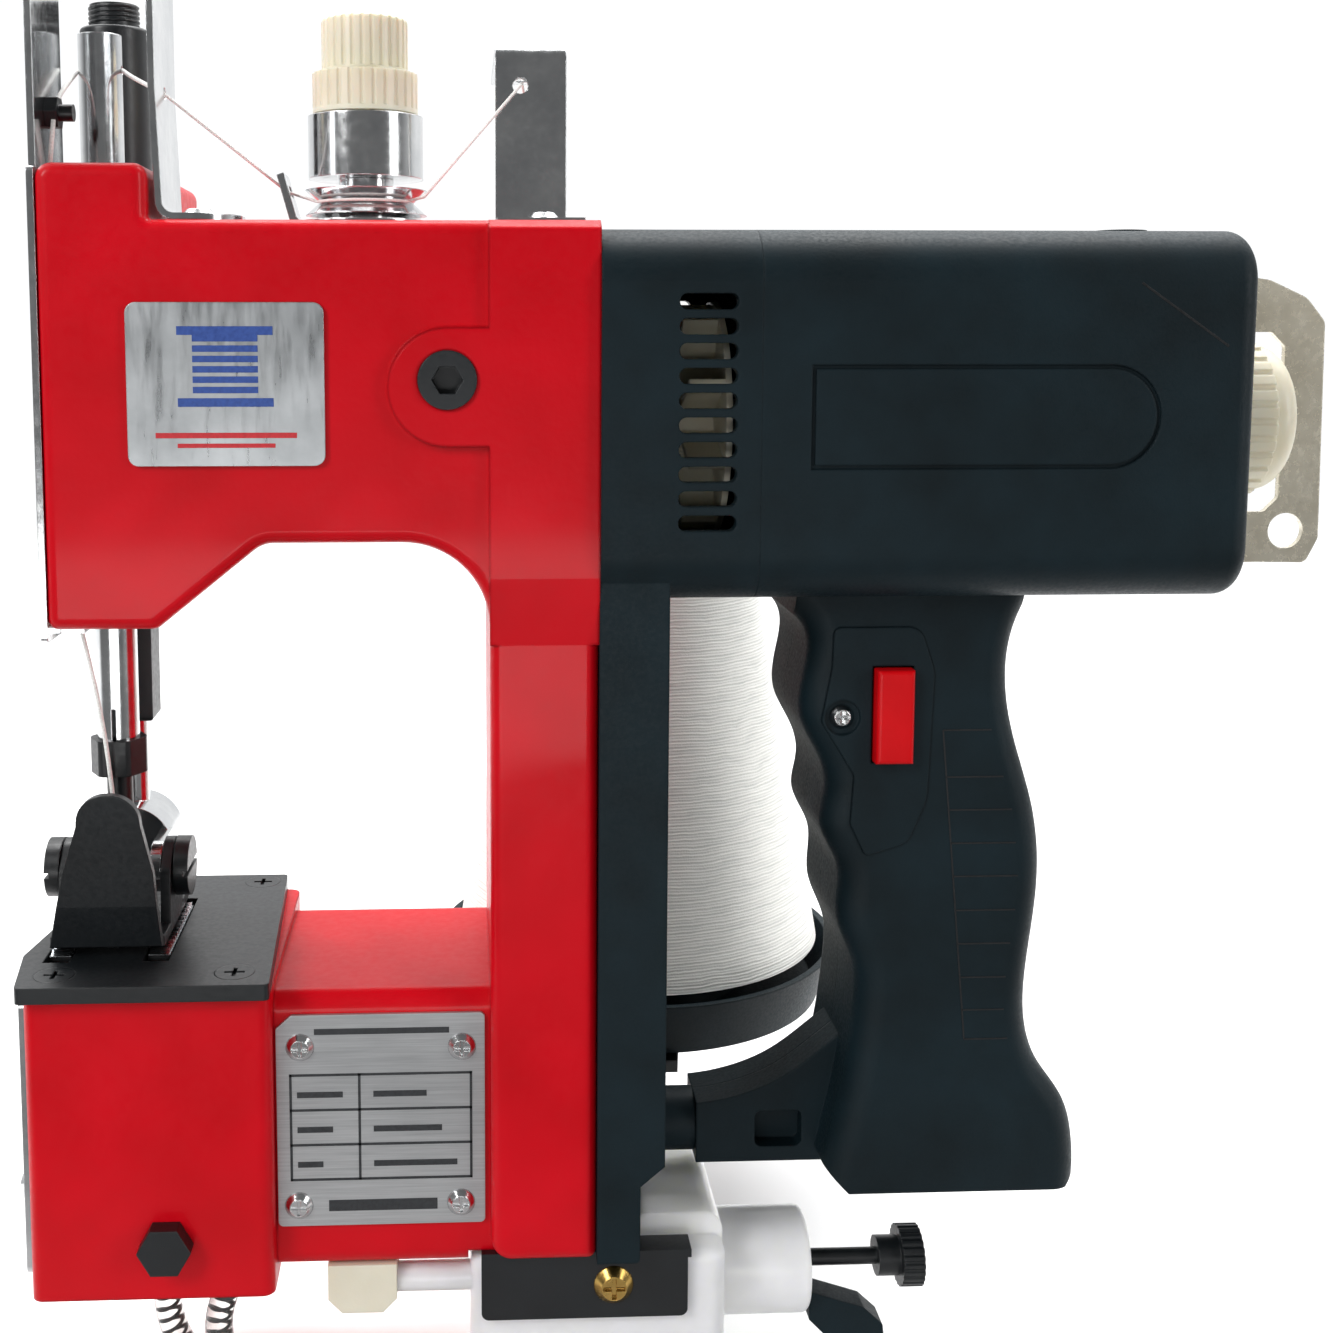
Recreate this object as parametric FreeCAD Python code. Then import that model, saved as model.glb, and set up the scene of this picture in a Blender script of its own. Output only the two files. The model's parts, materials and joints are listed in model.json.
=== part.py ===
import FreeCAD, Part
import math
import os

# A hand-held electric bag closing machine. Millimetres. X runs from the needle head (-X) to the
# hand wheel (+X), Y from the operator's side to the thread cone, Z up from the foot of the oil tank.
# The origin is the middle of the tank's foot, under the joint of the casting and the belt cover.

Vector = FreeCAD.Vector

# ---- driving dimensions: casting ----
halfDepth = 30.0            # the head, arm, column and looper box reach this far each way in Y
columnProud = 1.5           # the upper column block stands this far in front of the arm
needleX = -97.4
needleBarRadius = 4.3
headMargin = 2.1            # from the needle bar to the head's left face
headLeft = needleX - needleBarRadius - headMargin
headRight = -83.5
headBottom = 161.4
headTop = 248.0
armTop = 237.8
armUnder = 177.6
columnLeft = -20.8
columnBottom = 34.0
throatRadius = 16.5
boxLeft = -111.0
boxRight = -63.5
boxBottom = 28.5
boxTop = 90.0
lowerArmTop = 88.0
lowerArmBottom = 30.8
lowerArmHalf = 25.0
castWall = 4.0
# ---- driving dimensions: mechanism ----
motorAxis = 199.5           # height of the motor shaft
shaftAxis = 61.0            # height of the main shaft
mainShaftRadius = 5.0
motorShaftRadius = 4.0
eccentricRadius = 9.0
eccentricThrow = 3.0
rodX = -14.5                # the connecting rod's plane
pivotX = -28.6              # the rocker turns about this axis
pivotZ = 208.3
pivotRadius = 5.0
needleY = 0.0
needleStroke = 28.0
presserX = -97.4
presserY = 14.2
presserRodRadius = 3.3
looperX = -84.3
looperZ = 39.9
looperPinRadius = 3.0
feedTravel = 3.5
smallPulleyRadius = 6.83
largePulleyRadius = 20.5
beltThickness = 1.6
beltGap = 0.32               # between the belt and the pulleys, which turn inside it
# ---- driving dimensions: plastics, motor and back fittings ----
coverDepth = halfDepth + 3.0     # the belt cover and motor housing reach this far each way in Y
coverWidth = 8.5
humpWidth = 13.3
humpBottom = 52.0
housingLeft = 30.0
housingRight = 124.5
housingBottom = 166.0
housingTop = 236.5
plasticWall = 3.0
gripHalf = 19.0
wheelRadius = 16.5
tankDrop = 10.0             # the tank foot lies this far under the level the other heights start from
tankLength = 52.0
tankHeight = 32.2
pumpAxis = 18.7
pumpRadius = 10.7
plungerTravel = 10.0
hoseRadius = 2.8
trayX = 20.0
trayY = coverDepth + 51.0
trayRadius = 52.0
trayBottom = 46.0
coneRadius = 47.3
coneTopRadius = 29.5
# ---- clearances ----
runFit = 0.05               # radial running clearance of pins and shafts
apart = 0.4                 # between pieces that move past each other
swing = needleStroke / 2.0 / (pivotX - needleX)    # rocker angle at the end of the stroke, radians


def block(x0, x1, y0, y1, z0, z1):
    return Part.makeBox(x1 - x0, y1 - y0, z1 - z0, Vector(x0, y0, z0))


axes = {"x": Vector(1, 0, 0), "y": Vector(0, 1, 0), "z": Vector(0, 0, 1)}


def rod(axis, x, y, z, radius, length):
    return Part.makeCylinder(radius, length, Vector(x, y, z), axes[axis])


def ring(axis, x, y, z, outer, inner, length):
    return rod(axis, x, y, z, outer, length).cut(rod(axis, x, y, z, inner, length))


def frustum(axis, x, y, z, first, second, length):
    return Part.makeCone(first, second, length, Vector(x, y, z), axes[axis])


def joined(shapes):
    return shapes[0].fuse(shapes[1:]).removeSplitter()


def on_plane(edge, axis, value):
    bounds = edge.BoundBox
    low = getattr(bounds, axis + "Min")
    high = getattr(bounds, axis + "Max")
    return abs(low - value) < 1e-3 and abs(high - value) < 1e-3


def soften(shape, radius, axis, values):
    """Rounds the edges that lie in the planes axis = value."""
    chosen = [e for e in shape.Edges if any(on_plane(e, axis, v) for v in values)]
    return shape.makeFillet(radius, chosen)


def along(edge, axis):
    bounds = edge.BoundBox
    across = [a for a in "XYZ" if a != axis]
    return all(getattr(bounds, a + "Max") - getattr(bounds, a + "Min") < 1e-6 for a in across)


def round_along(shape, radius, axis):
    """Rounds every straight edge that runs along an axis."""
    return shape.makeFillet(radius, [e for e in shape.Edges if along(e, axis)])


def rounded_wire(corners, place):
    """A closed outline from (u, v, radius) corners; place turns (u, v) into a point."""
    points = [Vector(c[0], c[1], 0) for c in corners]
    count = len(points)
    entries, exits, arcs = [], [], []
    for i in range(count):
        here = points[i]
        to_last = (points[i - 1] - here).normalize()
        to_next = (points[(i + 1) % count] - here).normalize()
        radius = corners[i][2] if len(corners[i]) > 2 else 0.0
        if radius <= 0:
            entries.append(here)
            exits.append(here)
            arcs.append(None)
            continue
        half = to_last.getAngle(to_next) / 2.0
        back = radius / math.tan(half)
        middle = here + (to_last + to_next).normalize() * (radius / math.sin(half) - radius)
        entries.append(here + to_last * back)
        exits.append(here + to_next * back)
        arcs.append(middle)
    edges = []
    for i in range(count):
        if arcs[i] is not None:
            arc = Part.Arc(place(entries[i]), place(arcs[i]), place(exits[i]))
            edges.append(arc.toShape())
        following = entries[(i + 1) % count]
        if exits[i].distanceToPoint(following) > 1e-6:
            edges.append(Part.LineSegment(place(exits[i]), place(following)).toShape())
    return Part.Wire(edges)


def prism_y(corners, y0, y1):
    """An outline of (x, z, radius) corners, pushed out from y0 to y1."""
    wire = rounded_wire(corners, lambda p: Vector(p.x, y0, p.y))
    return Part.Face(wire).extrude(Vector(0, y1 - y0, 0))


def prism_x(corners, x0, x1):
    """An outline of (y, z, radius) corners, pushed out from x0 to x1."""
    wire = rounded_wire(corners, lambda p: Vector(x0, p.x, p.y))
    return Part.Face(wire).extrude(Vector(x1 - x0, 0, 0))


def prism_z(corners, z0, z1):
    """An outline of (x, y, radius) corners, pushed out from z0 to z1."""
    wire = rounded_wire(corners, lambda p: Vector(p.x, p.y, z0))
    return Part.Face(wire).extrude(Vector(0, 0, z1 - z0))


def hexagon(axis, x, y, z, flats, length):
    """A hexagonal bar, given across its flats."""
    radius = flats / math.sqrt(3.0)
    pts = []
    for i in range(7):
        a = math.pi / 3.0 * i
        u, v = radius * math.cos(a), radius * math.sin(a)
        spot = {"x": (x, y + u, z + v), "y": (x + u, y, z + v), "z": (x + u, y + v, z)}[axis]
        pts.append(Vector(*spot))
    return Part.Face(Part.makePolygon(pts)).extrude(axes[axis] * length)


def save(name, shape):
    os.makedirs("parts", exist_ok=True)
    shape = shape.copy()
    shape.translate(Vector(0, 0, tankDrop))
    shape.exportStep("parts/" + name + ".step")
    print(name, "solids", len(shape.Solids), "volume", round(shape.Volume, 1), "valid", shape.isValid())


def group(shapes):
    return Part.makeCompound(shapes)


# ---- casting ----
bushOuter = needleBarRadius + 1.5
spigotRadius = 5.2           # the spring tube sits in the head on this spigot
tubeRadius = 7.0             # the presser spring's housing
sleeveHalf = 5.2             # the presser bar's lower guide is a square block
shaftBushOuter = 7.0
armInnerTop = armTop - 5.8
armInnerBottom = armUnder + 4.4
rodRoom = (columnLeft + 2.8, -8.5)        # the connecting rod's chamber in X
beltRoomLeft = -5.0
boxRoom = (boxLeft + castWall, boxRight - castWall)
shaftWalls = [(boxRoom[1], boxRight + 0.5), (rodRoom[0] - castWall, rodRoom[0]), (rodRoom[1], beltRoomLeft)]
cavityHalf = 22.0


def frame_casting():
    face = halfDepth
    outline = [
        (headLeft, headBottom, 2.0), (headLeft, headTop, 3.0), (headRight, headTop, 2.5),
        (headRight, armTop, 1.0), (0, armTop, 0.8), (0, columnBottom, 1.5),
        (columnLeft, columnBottom, 4.0), (columnLeft, armUnder, throatRadius),
        (headRight + 20.0, armUnder, 6.0), (headRight, headBottom, 2.0)]
    upper = soften(prism_y(outline, -face, face), 2.5, "Y", [-face, face])
    proud = face + columnProud
    upper_block = prism_x([(-face, 158), (-proud, 171), (-proud, armTop - 1.5, 1), (-face + 1, armTop),
                           (face - 1, armTop), (proud, armTop - 1.5, 1), (proud, 171), (face, 158)],
                          columnLeft, 0)
    boss = rod("y", pivotX, -proud, pivotZ - 1.4, 11.0, 2 * proud)
    boss_bridge = block(pivotX, columnLeft + 1, -proud, proud, pivotZ - 12.4, pivotZ + 9.6)
    arm = block(boxRight - 2, columnLeft + 1, -lowerArmHalf, lowerArmHalf, lowerArmBottom, lowerArmTop)
    arm = round_along(arm, 4.0, "X")
    box = round_along(block(boxLeft, boxRight, -face, face, boxBottom, boxTop), 2.5, "Z")
    arm = arm.cut(block(tankLeft - 0.4, columnLeft + 2, -face, face, lowerArmBottom - 1, columnBottom))
    body = joined([upper, upper_block, boss, boss_bridge, arm, box])
    room = cavityHalf
    hollows = [
        block(headLeft - 1, headRight - 4.5, -room, room, headBottom + 4.6, headTop - 6.0),
        block(headRight - 5.5, rodRoom[1], -room, room, armInnerBottom, armInnerTop),
        block(rodRoom[0], rodRoom[1], -room, room, columnBottom + castWall, armInnerTop),
        block(beltRoomLeft, 1, -27.5, 27.5, columnBottom + 3.0, motorAxis + 26.5),
        block(boxRight + 0.5, rodRoom[0] - castWall, -20, 20, lowerArmBottom + 5.2, lowerArmTop - 6.0),
        block(boxLeft - 1, boxRoom[1], -26, 27, boxBottom + 4.5, boxTop + 1)]
    body = body.cut(group(hollows))
    lugs = [rod("y", pivotX, -room - 1, pivotZ, 8.5, room + 1 - 11.4), rod("y", pivotX, 11.4, pivotZ, 8.5, room + 1 - 11.4),
            block(boxLeft, boxLeft + 6, -27, -18, coverScrewZ - 4.5, coverScrewZ + 4.5),
            block(-109, -101, -27, -21.5, 78, boxTop), block(-75, boxRoom[1] + 1, -27, -21.5, 78, boxTop),
            block(-75, boxRoom[1] + 1, 21.5, 28, 78, boxTop)]
    body = joined([body] + lugs)
    cuts = [
        rod("x", boxRoom[1] - 1, 0, shaftAxis, shaftBushOuter, 0 - boxRoom[1]),
        rod("y", pivotX, -proud - 1, pivotZ, pivotRadius, 2 * proud + 2),
        rod("y", pivotX, -proud - 1, pivotZ, pivotRadius + 0.5, 4.0),
        rod("z", needleX, needleY, headBottom - 1, bushOuter, headTop - headBottom + 2),
        rod("z", presserX, presserY, headTop - 8, spigotRadius, 9),
        block(presserX - sleeveHalf, presserX + sleeveHalf, presserY - 4.5,
              presserY + 4.5, headBottom - 1, headBottom + 6),
        rod("y", looperX, -face - 1, looperZ, looperPinRadius, 2 * face + 2),
        rod("y", feedRodX, 20, feedRodZ, feedRodRadius, face - 20 + 1),
        rod("x", boxLeft - 1, -22, coverScrewZ, smallScrewRadius, 6)]
    for place in nameplate_spots():
        cuts.append(rod("y", place[0], -lowerArmHalf - 1, place[1], smallScrewRadius, 5.2))
    for place in plate_spots():
        cuts.append(rod("z", place[0], place[1], boxTop - 5.0, smallScrewRadius, 6))
    for spot, axis, thread in top_screws():
        cuts.append(rod("z", spot[0], spot[1], armTop - 5.0, thread, 6))
    for z in (trayBottom + 8, trayBottom + 19):
        cuts.append(rod("y", -10.6, halfDepth - 5, z, 2.0, 6))
    return body.cut(group(cuts))


# ---- rocker, connecting rod and needle bar ----
leverRight = rodX - pivotX
forkInner = needleBarRadius + 1.8
crossPinRadius = 2.2
strapGap = 0.8               # the strap stands this far off the eccentric all round its throw
joggle = 3.0                 # half thickness of the rod's eye


def rocker_arm():
    """The lever of two arms: a fork round the needle bar and a pin in the rod's eye."""
    hub = rod("y", pivotX, -11, pivotZ, pivotRadius + 3.0, 22)
    beam = block(needleX + 13, pivotX, -5, 5, pivotZ - 6, pivotZ + 6)
    outer = forkInner + 3.3
    bridge = block(needleX + 10, needleX + 15, needleY - outer, needleY + outer, pivotZ - 6.5, pivotZ + 6.5)
    parts = [hub, beam, bridge]
    for side in (-1, 1):
        low, high = sorted((needleY + side * forkInner, needleY + side * outer))
        tine = block(needleX - 5.6, needleX + 11, low, high, pivotZ - 6.5, pivotZ + 6.5)
        slot = block(needleX - 4.1, needleX + 4.1, low - 1, high + 1, pivotZ - 2.8, pivotZ + 2.8)
        parts.append(tine.cut(slot))
    for side in (-1, 1):
        near, far = sorted((side * (joggle + 0.6), side * 7.0))
        parts.append(block(pivotX, rodX + 3.6, near, far, pivotZ - 4, pivotZ + 4))
    parts.append(rod("y", rodX, -joggle - 1, pivotZ, 2.6, 2 * joggle + 2))
    body = joined(parts)
    return body.cut(rod("y", pivotX, -12, pivotZ, pivotRadius + runFit, 24))


def rocker_pivot_pin():
    """The shouldered pin across the arm, with a hexagon socket at the front."""
    proud = halfDepth + columnProud
    pin = rod("y", pivotX, -proud + 3.0, pivotZ, pivotRadius, 2 * proud - 3.0)
    pin = pin.fuse(rod("y", pivotX, -proud - 0.6, pivotZ, pivotRadius + 0.5, 3.6)).removeSplitter()
    return pin.cut(hexagon("y", pivotX, -proud - 1, pivotZ, 5.0, 4.0))


def connecting_rod():
    inner = eccentricRadius + eccentricThrow + leverRight * swing + strapGap
    strap = ring("x", rodX - 2.3, 0, shaftAxis, inner + 3.0, inner, 4.6)
    shank = block(rodX - 2.0, rodX + 2.0, -4, 4, shaftAxis + inner + 0.6, pivotZ - 7.0)
    neck = block(rodX - 2.0, rodX + 2.0, -joggle, joggle, pivotZ - 9, pivotZ - 4.4)
    eye = rod("y", rodX, -joggle, pivotZ, 5.4, 2 * joggle)
    body = joined([strap, shank, neck, eye])
    return body.cut(rod("y", rodX, -joggle - 1, pivotZ, 3.3, 2 * joggle + 2))


nutTop = 133.9
nutBottom = 126.5
barTop = 275.7


def needle_bar():
    """The tube with its crosshead for the rocker, thread hole and slotted collet end."""
    bar = rod("z", needleX, needleY, nutTop - 4, needleBarRadius, barTop - nutTop + 4)
    head = block(needleX - 5.6, needleX + 5.6, needleY - 5.6, needleY + 5.6, pivotZ - 4.3, pivotZ + 4.3)
    pin_half = forkInner + 3.4
    pin = rod("y", needleX, needleY - pin_half, pivotZ, crossPinRadius, 2 * pin_half)
    body = joined([bar, head, pin])
    thread_hole = rod("x", needleX - 8, needleY, threadHoleZ, 0.9, 16)
    slit = block(needleX - 0.4, needleX + 0.4, needleY - 5, needleY + 5, nutTop - 5, nutTop + 6.5)
    socket = rod("z", needleX, needleY, nutTop - 5, shankRadius, 13.5)
    return body.cut(group([thread_hole, slit, socket]))


shankRadius = 2.65
threadHoleZ = 269.0
needleTip = 96.0


def needle_and_clamp():
    """The clamp nut, the needle's shank sleeve and the needle itself, each its own solid."""
    nut = hexagon("z", needleX, needleY, nutBottom, 10.4, nutTop - nutBottom)
    nut = nut.common(rod("z", needleX, needleY, nutBottom, 5.7, nutTop - nutBottom))
    nut = nut.cut(rod("z", needleX, needleY, nutTop - 4, needleBarRadius, 5))
    nut = nut.cut(rod("z", needleX, needleY, nutBottom - 1, shankRadius, 8))
    sleeve = rod("z", needleX, needleY, 116.0, shankRadius, nutTop + 8.5 - 116.0)
    blade = rod("z", needleX, needleY, needleTip + 5, 0.95, 116.0 - needleTip - 5)
    tip = frustum("z", needleX, needleY, needleTip, 0.15, 0.95, 5)
    eye = block(needleX - 2, needleX + 2, needleY - 0.3, needleY + 0.3, needleTip + 6, needleTip + 8.5)
    return group([nut, sleeve, joined([blade, tip]).cut(eye)])


def needle_bar_bushes():
    hole = needleBarRadius + runFit
    lower = ring("z", needleX, needleY, headBottom, bushOuter, hole, 4.6)
    flange = ring("z", needleX, needleY, headBottom - 1.3, bushOuter + 0.6, hole, 1.3)
    upper = ring("z", needleX, needleY, headTop - 7.0, bushOuter, hole, 7.0)
    return group([joined([lower, flange]), upper])


# ---- presser bar and foot ----
tubeShoulder = 279.5
tubeTop = 284.2
sleeveBottom = 134.5
footX = -97.3
footPinY = -1.0
footPinZ = 106.5
footPinRadius = 2.4
soleBottom = 94.7
plateTop = 93.2
plateBottom = 90.0
yokeOuter = 9.0
yokeInner = 6.7
yokeTop = 116.8
cheekGap = 0.3
cheekThickness = 2.0
toeX = -95.0
toeTip = 128.0


def presser_bar_bushes():
    """The black spring tube with its thread on top, and the square guide under the head."""
    bore = presserRodRadius + runFit
    tube = rod("z", presserX, presserY, headTop, tubeRadius, tubeShoulder - headTop)
    tube = soften(tube, 0.8, "Z", [tubeShoulder])
    tube = joined([tube, rod("z", presserX, presserY, headTop - 6, spigotRadius, 7),
                   rod("z", presserX, presserY, tubeShoulder - 1, 4.9, tubeTop - tubeShoulder + 1)])
    tube = tube.cut(rod("z", presserX, presserY, headTop + 2, 5.6, springTop + 0.2 - headTop - 2))
    tube = tube.cut(rod("z", presserX, presserY, headTop - 7, bore, tubeTop - headTop + 9))
    side = sleeveHalf
    guide = block(presserX - side, presserX + side, presserY - 4.5, presserY + 4.5,
                  sleeveBottom, headBottom + 4.6)
    guide = soften(guide, 0.8, "Z", [sleeveBottom])
    guide = guide.cut(rod("z", presserX, presserY, sleeveBottom - 1, bore, 40))
    return group([tube, guide])


springTop = 275.8


def presser_spring():
    """The wire spring between the bar's collar and the tube's shoulder."""
    low = collarTop + 0.8
    helix = Part.makeHelix(3.0, springTop - 0.6 - low, 4.6)
    helix.translate(Vector(presserX, presserY, low))
    start = Vector(presserX + 4.6, presserY, low)
    section = Part.Wire(Part.Circle(start, Vector(0, 1, 0.1), 0.5).toShape())
    return Part.Wire(helix.Edges).makePipeShell([section], True, True)


collarTop = 257.0


def presser_bar():
    """The bar with its collar and the bridge-shaped holder that carries the foot."""
    bar = rod("z", presserX, presserY, yokeTop - 6, presserRodRadius, tubeTop - 3 - yokeTop + 6)
    collar = rod("z", presserX, presserY, collarTop - 3, 5.2, 3)
    wide = 9.2
    holder = prism_y([(footX - wide, 103), (footX - wide, yokeTop, wide - 0.1), (footX + wide, yokeTop, wide - 0.1),
                      (footX + wide, 103)], 6.4, presserY + 6.2)
    parts = [bar, collar, holder]
    for side in (-1, 1):
        low, high = sorted((footX + side * yokeInner, footX + side * yokeOuter))
        parts.append(prism_x([(8, 101.2), (-6.2, 101.2, 5), (-6.2, 111.8, 5), (8, 111.8)], low, high))
    body = joined(parts)
    return body.cut(group([rod("x", footX + side * 8 - 3, footPinY, footPinZ, footPinRadius, 6) for side in (-1, 1)]))


def presser_foot_pins():
    """Two shouldered screws that the foot turns on; they are tight in the holder."""
    pins = []
    for side in (-1, 1):
        near, far = footX + side * yokeInner, footX + side * (yokeOuter + cheekGap * 2 + cheekThickness)
        tip = far + side * 3.0
        shaft = rod("x", min(near, far), footPinY, footPinZ, footPinRadius, abs(far - near))
        head = rod("x", min(far, tip), footPinY, footPinZ, 6.1, 3.0)
        slot = block(min(tip, tip - side), max(tip, tip - side), footPinY - 7, footPinY + 7, footPinZ - 0.6, footPinZ + 0.6)
        pins.append(shaft.fuse(head).removeSplitter().cut(slot))
    return group(pins)


def presser_foot():
    """The sole with its needle slot, two cheeks and the tall upturned toe."""
    inner = yokeOuter + cheekGap
    outer = inner + cheekThickness
    low = soleBottom
    sole = prism_x([(-16, low), (11, low), (18, low + 2), (18, low + 4), (11, low + 2.2), (-16, low + 2.2)],
                   footX - outer, footX + outer)
    slot = block(needleX - 3.4, needleX + 3.4, needleY - 5, needleY + 5, low - 1, low + 4)
    parts = [sole.cut(slot)]
    for side in (-1, 1):
        a, b = sorted((footX + side * inner, footX + side * outer))
        cheek = prism_x([(-9, low + 1), (5.2, low + 1.6), (5.2, footPinZ + 2, 3), (footPinY, footPinZ + 7.5, 4),
                         (-8, footPinZ + 1, 3)], a, b)
        parts.append(cheek.cut(rod("x", a - 1, footPinY, footPinZ, footPinRadius + runFit, 5)))
    toe = prism_x([(-15.5, low), (-18.4, low + 1.0), (-20.8, low + 10), (-24.0, toeTip), (-22.0, toeTip),
                   (-18.9, low + 10), (-17.0, low + 3.2), (-15.5, low + 2.2)], footX - outer, footX + outer)
    mask = prism_y([(footX - outer, low - 1), (toeX - 9.4, low + 17), (toeX - 6.2, low + 27), (toeX - 5.7, toeTip, 5.6),
                    (toeX + 5.7, toeTip, 5.6), (toeX + 6.2, low + 27), (toeX + 8.2, low + 17), (footX + outer, low - 1)],
                   -26, -12)
    parts.append(toe.common(mask))
    return joined(parts)


# ---- lower mechanism ----
feedRodZ = 81.0
feedRodRadius = 3.0
feedRodX = -97.0
feedHalf = 9.75
feedRow = 2.2
feedTop = 93.9


def feed_dog():
    """Two toothed rows, the bar that joins them behind the looper and its sliding boss."""
    parts = []
    under = plateBottom - apart
    for side in (-1, 1):
        mid = footX + 0.4 + side * feedHalf
        parts.append(block(mid - feedRow, mid + feedRow, -16, 12, under - 0.3, feedTop - 0.9))
        parts.append(block(mid - feedRow, mid + feedRow, 8, 20, 85.5, under))
        for i in range(13):
            y = -16 + 2.15 * i
            parts.append(prism_x([(y, feedTop - 1), (y + 2, feedTop - 1), (y + 1.6, feedTop)],
                                 mid - feedRow + 0.2, mid + feedRow - 0.2))
    parts.append(block(footX + 0.4 - feedHalf - feedRow, footX + 0.4 + feedHalf + feedRow, 14, 22, feedRodZ - 2, under))
    parts.append(rod("y", feedRodX, 14, feedRodZ, feedRodRadius + 3, 8))
    body = joined(parts)
    return body.cut(rod("y", feedRodX, 13, feedRodZ, feedRodRadius + runFit, 10))


def looper_box_pins():
    """The looper's hexagon-headed pivot bolt and the rod that guides the feed."""
    bolt = rod("y", looperX, -halfDepth, looperZ, looperPinRadius, 2 * halfDepth)
    head = hexagon("y", looperX, -halfDepth - 3.6, looperZ, 9.1, 3.6)
    guide = rod("y", feedRodX, 9.5, feedRodZ, feedRodRadius, halfDepth - 9.5)
    return group([bolt.fuse(head).removeSplitter(), guide])


def looper():
    """The rocking lever with the looper blade that passes behind the needle."""
    hub = rod("y", looperX, -8, looperZ, 6.5, 16)
    arm = block(looperX - 3.6, looperX + 3.6, -4, 4, looperZ, 84.0)
    blade = prism_y([(looperX + 3.6, 82.0), (looperX - 4, 82.0), (-93.0, 85.4), (-93.4, 86.2), (looperX - 2, 87.4),
                     (looperX + 3.6, 87.4)], 1.9, 3.9)
    body = joined([hub, arm, blade])
    return body.cut(rod("y", looperX, -9, looperZ, looperPinRadius + runFit, 18))


def main_shaft():
    """The shaft, the eccentric that drives the rod and the crank for the looper and feed."""
    left = boxRoom[1] - 5
    shaft = rod("x", left, 0, shaftAxis, mainShaftRadius, pulleyRight - left)
    eccentric = rod("x", rodX - 2.6, 0, shaftAxis + eccentricThrow, eccentricRadius, 5.2)
    crank = rod("x", left, 0, shaftAxis, 7.5, 4.0)
    crank_pin = rod("x", left - 3.0, 0, shaftAxis + 4.0, 2.0, 4)
    return joined([shaft, eccentric, crank, crank_pin])


def shaft_bushes():
    bushes = []
    for x0, x1 in shaftWalls:
        bushes.append(ring("x", x0, 0, shaftAxis, shaftBushOuter, mainShaftRadius + runFit, x1 - x0))
    return group(bushes)


pulleyLeft = -3.5
pulleyRight = 5.5
flange = 1.2


def toothed_wheel(z, radius, bore, teeth):
    wheel = rod("x", pulleyLeft, 0, z, radius, pulleyRight - pulleyLeft)
    notches = []
    for i in range(teeth):
        a = 2 * math.pi * i / teeth
        notches.append(rod("x", pulleyLeft + flange, radius * math.cos(a), z + radius * math.sin(a), 0.7,
                           pulleyRight - pulleyLeft - 2 * flange))
    wheel = wheel.cut(group(notches))
    return wheel.cut(rod("x", pulleyLeft - 1, 0, z, bore, pulleyRight - pulleyLeft + 2))


def large_pulley():
    wheel = toothed_wheel(shaftAxis, largePulleyRadius, mainShaftRadius, 36)
    holes = []
    for i in range(4):
        a = math.pi / 4 + math.pi / 2 * i
        holes.append(rod("x", pulleyLeft - 1, 14 * math.cos(a), shaftAxis + 14 * math.sin(a), 4.0, 12))
    return wheel.cut(group(holes))


def belt_outline(x0, grow):
    """The loop round both pulleys, grow outside their rims, as one face."""
    top, low = smallPulleyRadius + grow, largePulleyRadius + grow
    tilt = math.asin((low - top) / (motorAxis - shaftAxis))
    edges = []

    def at(z, radius, angle):
        return Vector(x0, radius * math.cos(angle), z + radius * math.sin(angle))

    edges.append(Part.LineSegment(at(shaftAxis, low, tilt), at(motorAxis, top, tilt)).toShape())
    edges.append(Part.Arc(at(motorAxis, top, tilt), at(motorAxis, top, math.pi / 2),
                          at(motorAxis, top, math.pi - tilt)).toShape())
    edges.append(Part.LineSegment(at(motorAxis, top, math.pi - tilt), at(shaftAxis, low, math.pi - tilt)).toShape())
    edges.append(Part.Arc(at(shaftAxis, low, math.pi - tilt), at(shaftAxis, low, -math.pi / 2),
                          at(shaftAxis, low, tilt)).toShape())
    return Part.Face(Part.Wire(edges))


def drive_belt():
    width = pulleyRight - pulleyLeft - 2 * flange
    outer = belt_outline(pulleyLeft + flange, beltGap + beltThickness).extrude(Vector(width, 0, 0))
    inner = belt_outline(pulleyLeft + flange, beltGap).extrude(Vector(width, 0, 0))
    return outer.cut(inner)


# ---- motor ----
wallLeft = 9.5              # the belt cover's inner wall carries the left motor bearing
bearingOuter = 11.0
bearingWidth = 7.0
bearingRight = 114.5
statorSpan = (48.0, 92.0)
statorRadius = 27.0
rotorRadius = 15.3
brushX = 109.8
wheelLeft = housingRight + 1.0
wheelRight = wheelLeft + 17.5


def motor_armature():
    """Shaft, laminated core with its windings, commutator and the small belt pulley."""
    shaft = rod("x", pulleyLeft - 0.8, 0, motorAxis, motorShaftRadius, wheelRight - 4 - pulleyLeft + 0.8)
    core = ring("x", statorSpan[0], 0, motorAxis, rotorRadius, motorShaftRadius, statorSpan[1] - statorSpan[0])
    slots = []
    for i in range(12):
        a = math.pi / 6 * i
        slots.append(rod("x", statorSpan[0] - 1, 14.2 * math.cos(a), motorAxis + 14.2 * math.sin(a), 1.5, 60))
    core = core.cut(group(slots))
    left_coil = ring("x", statorSpan[0] - 6, 0, motorAxis, 13.0, motorShaftRadius, 6)
    right_coil = ring("x", statorSpan[1], 0, motorAxis, 13.0, motorShaftRadius, 6)
    commutator = ring("x", brushX - 6, 0, motorAxis, 9.4, motorShaftRadius, 10.2)
    pulley = toothed_wheel(motorAxis, smallPulleyRadius, motorShaftRadius, 12)
    return group([shaft, core, left_coil, right_coil, commutator, pulley])


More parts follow.
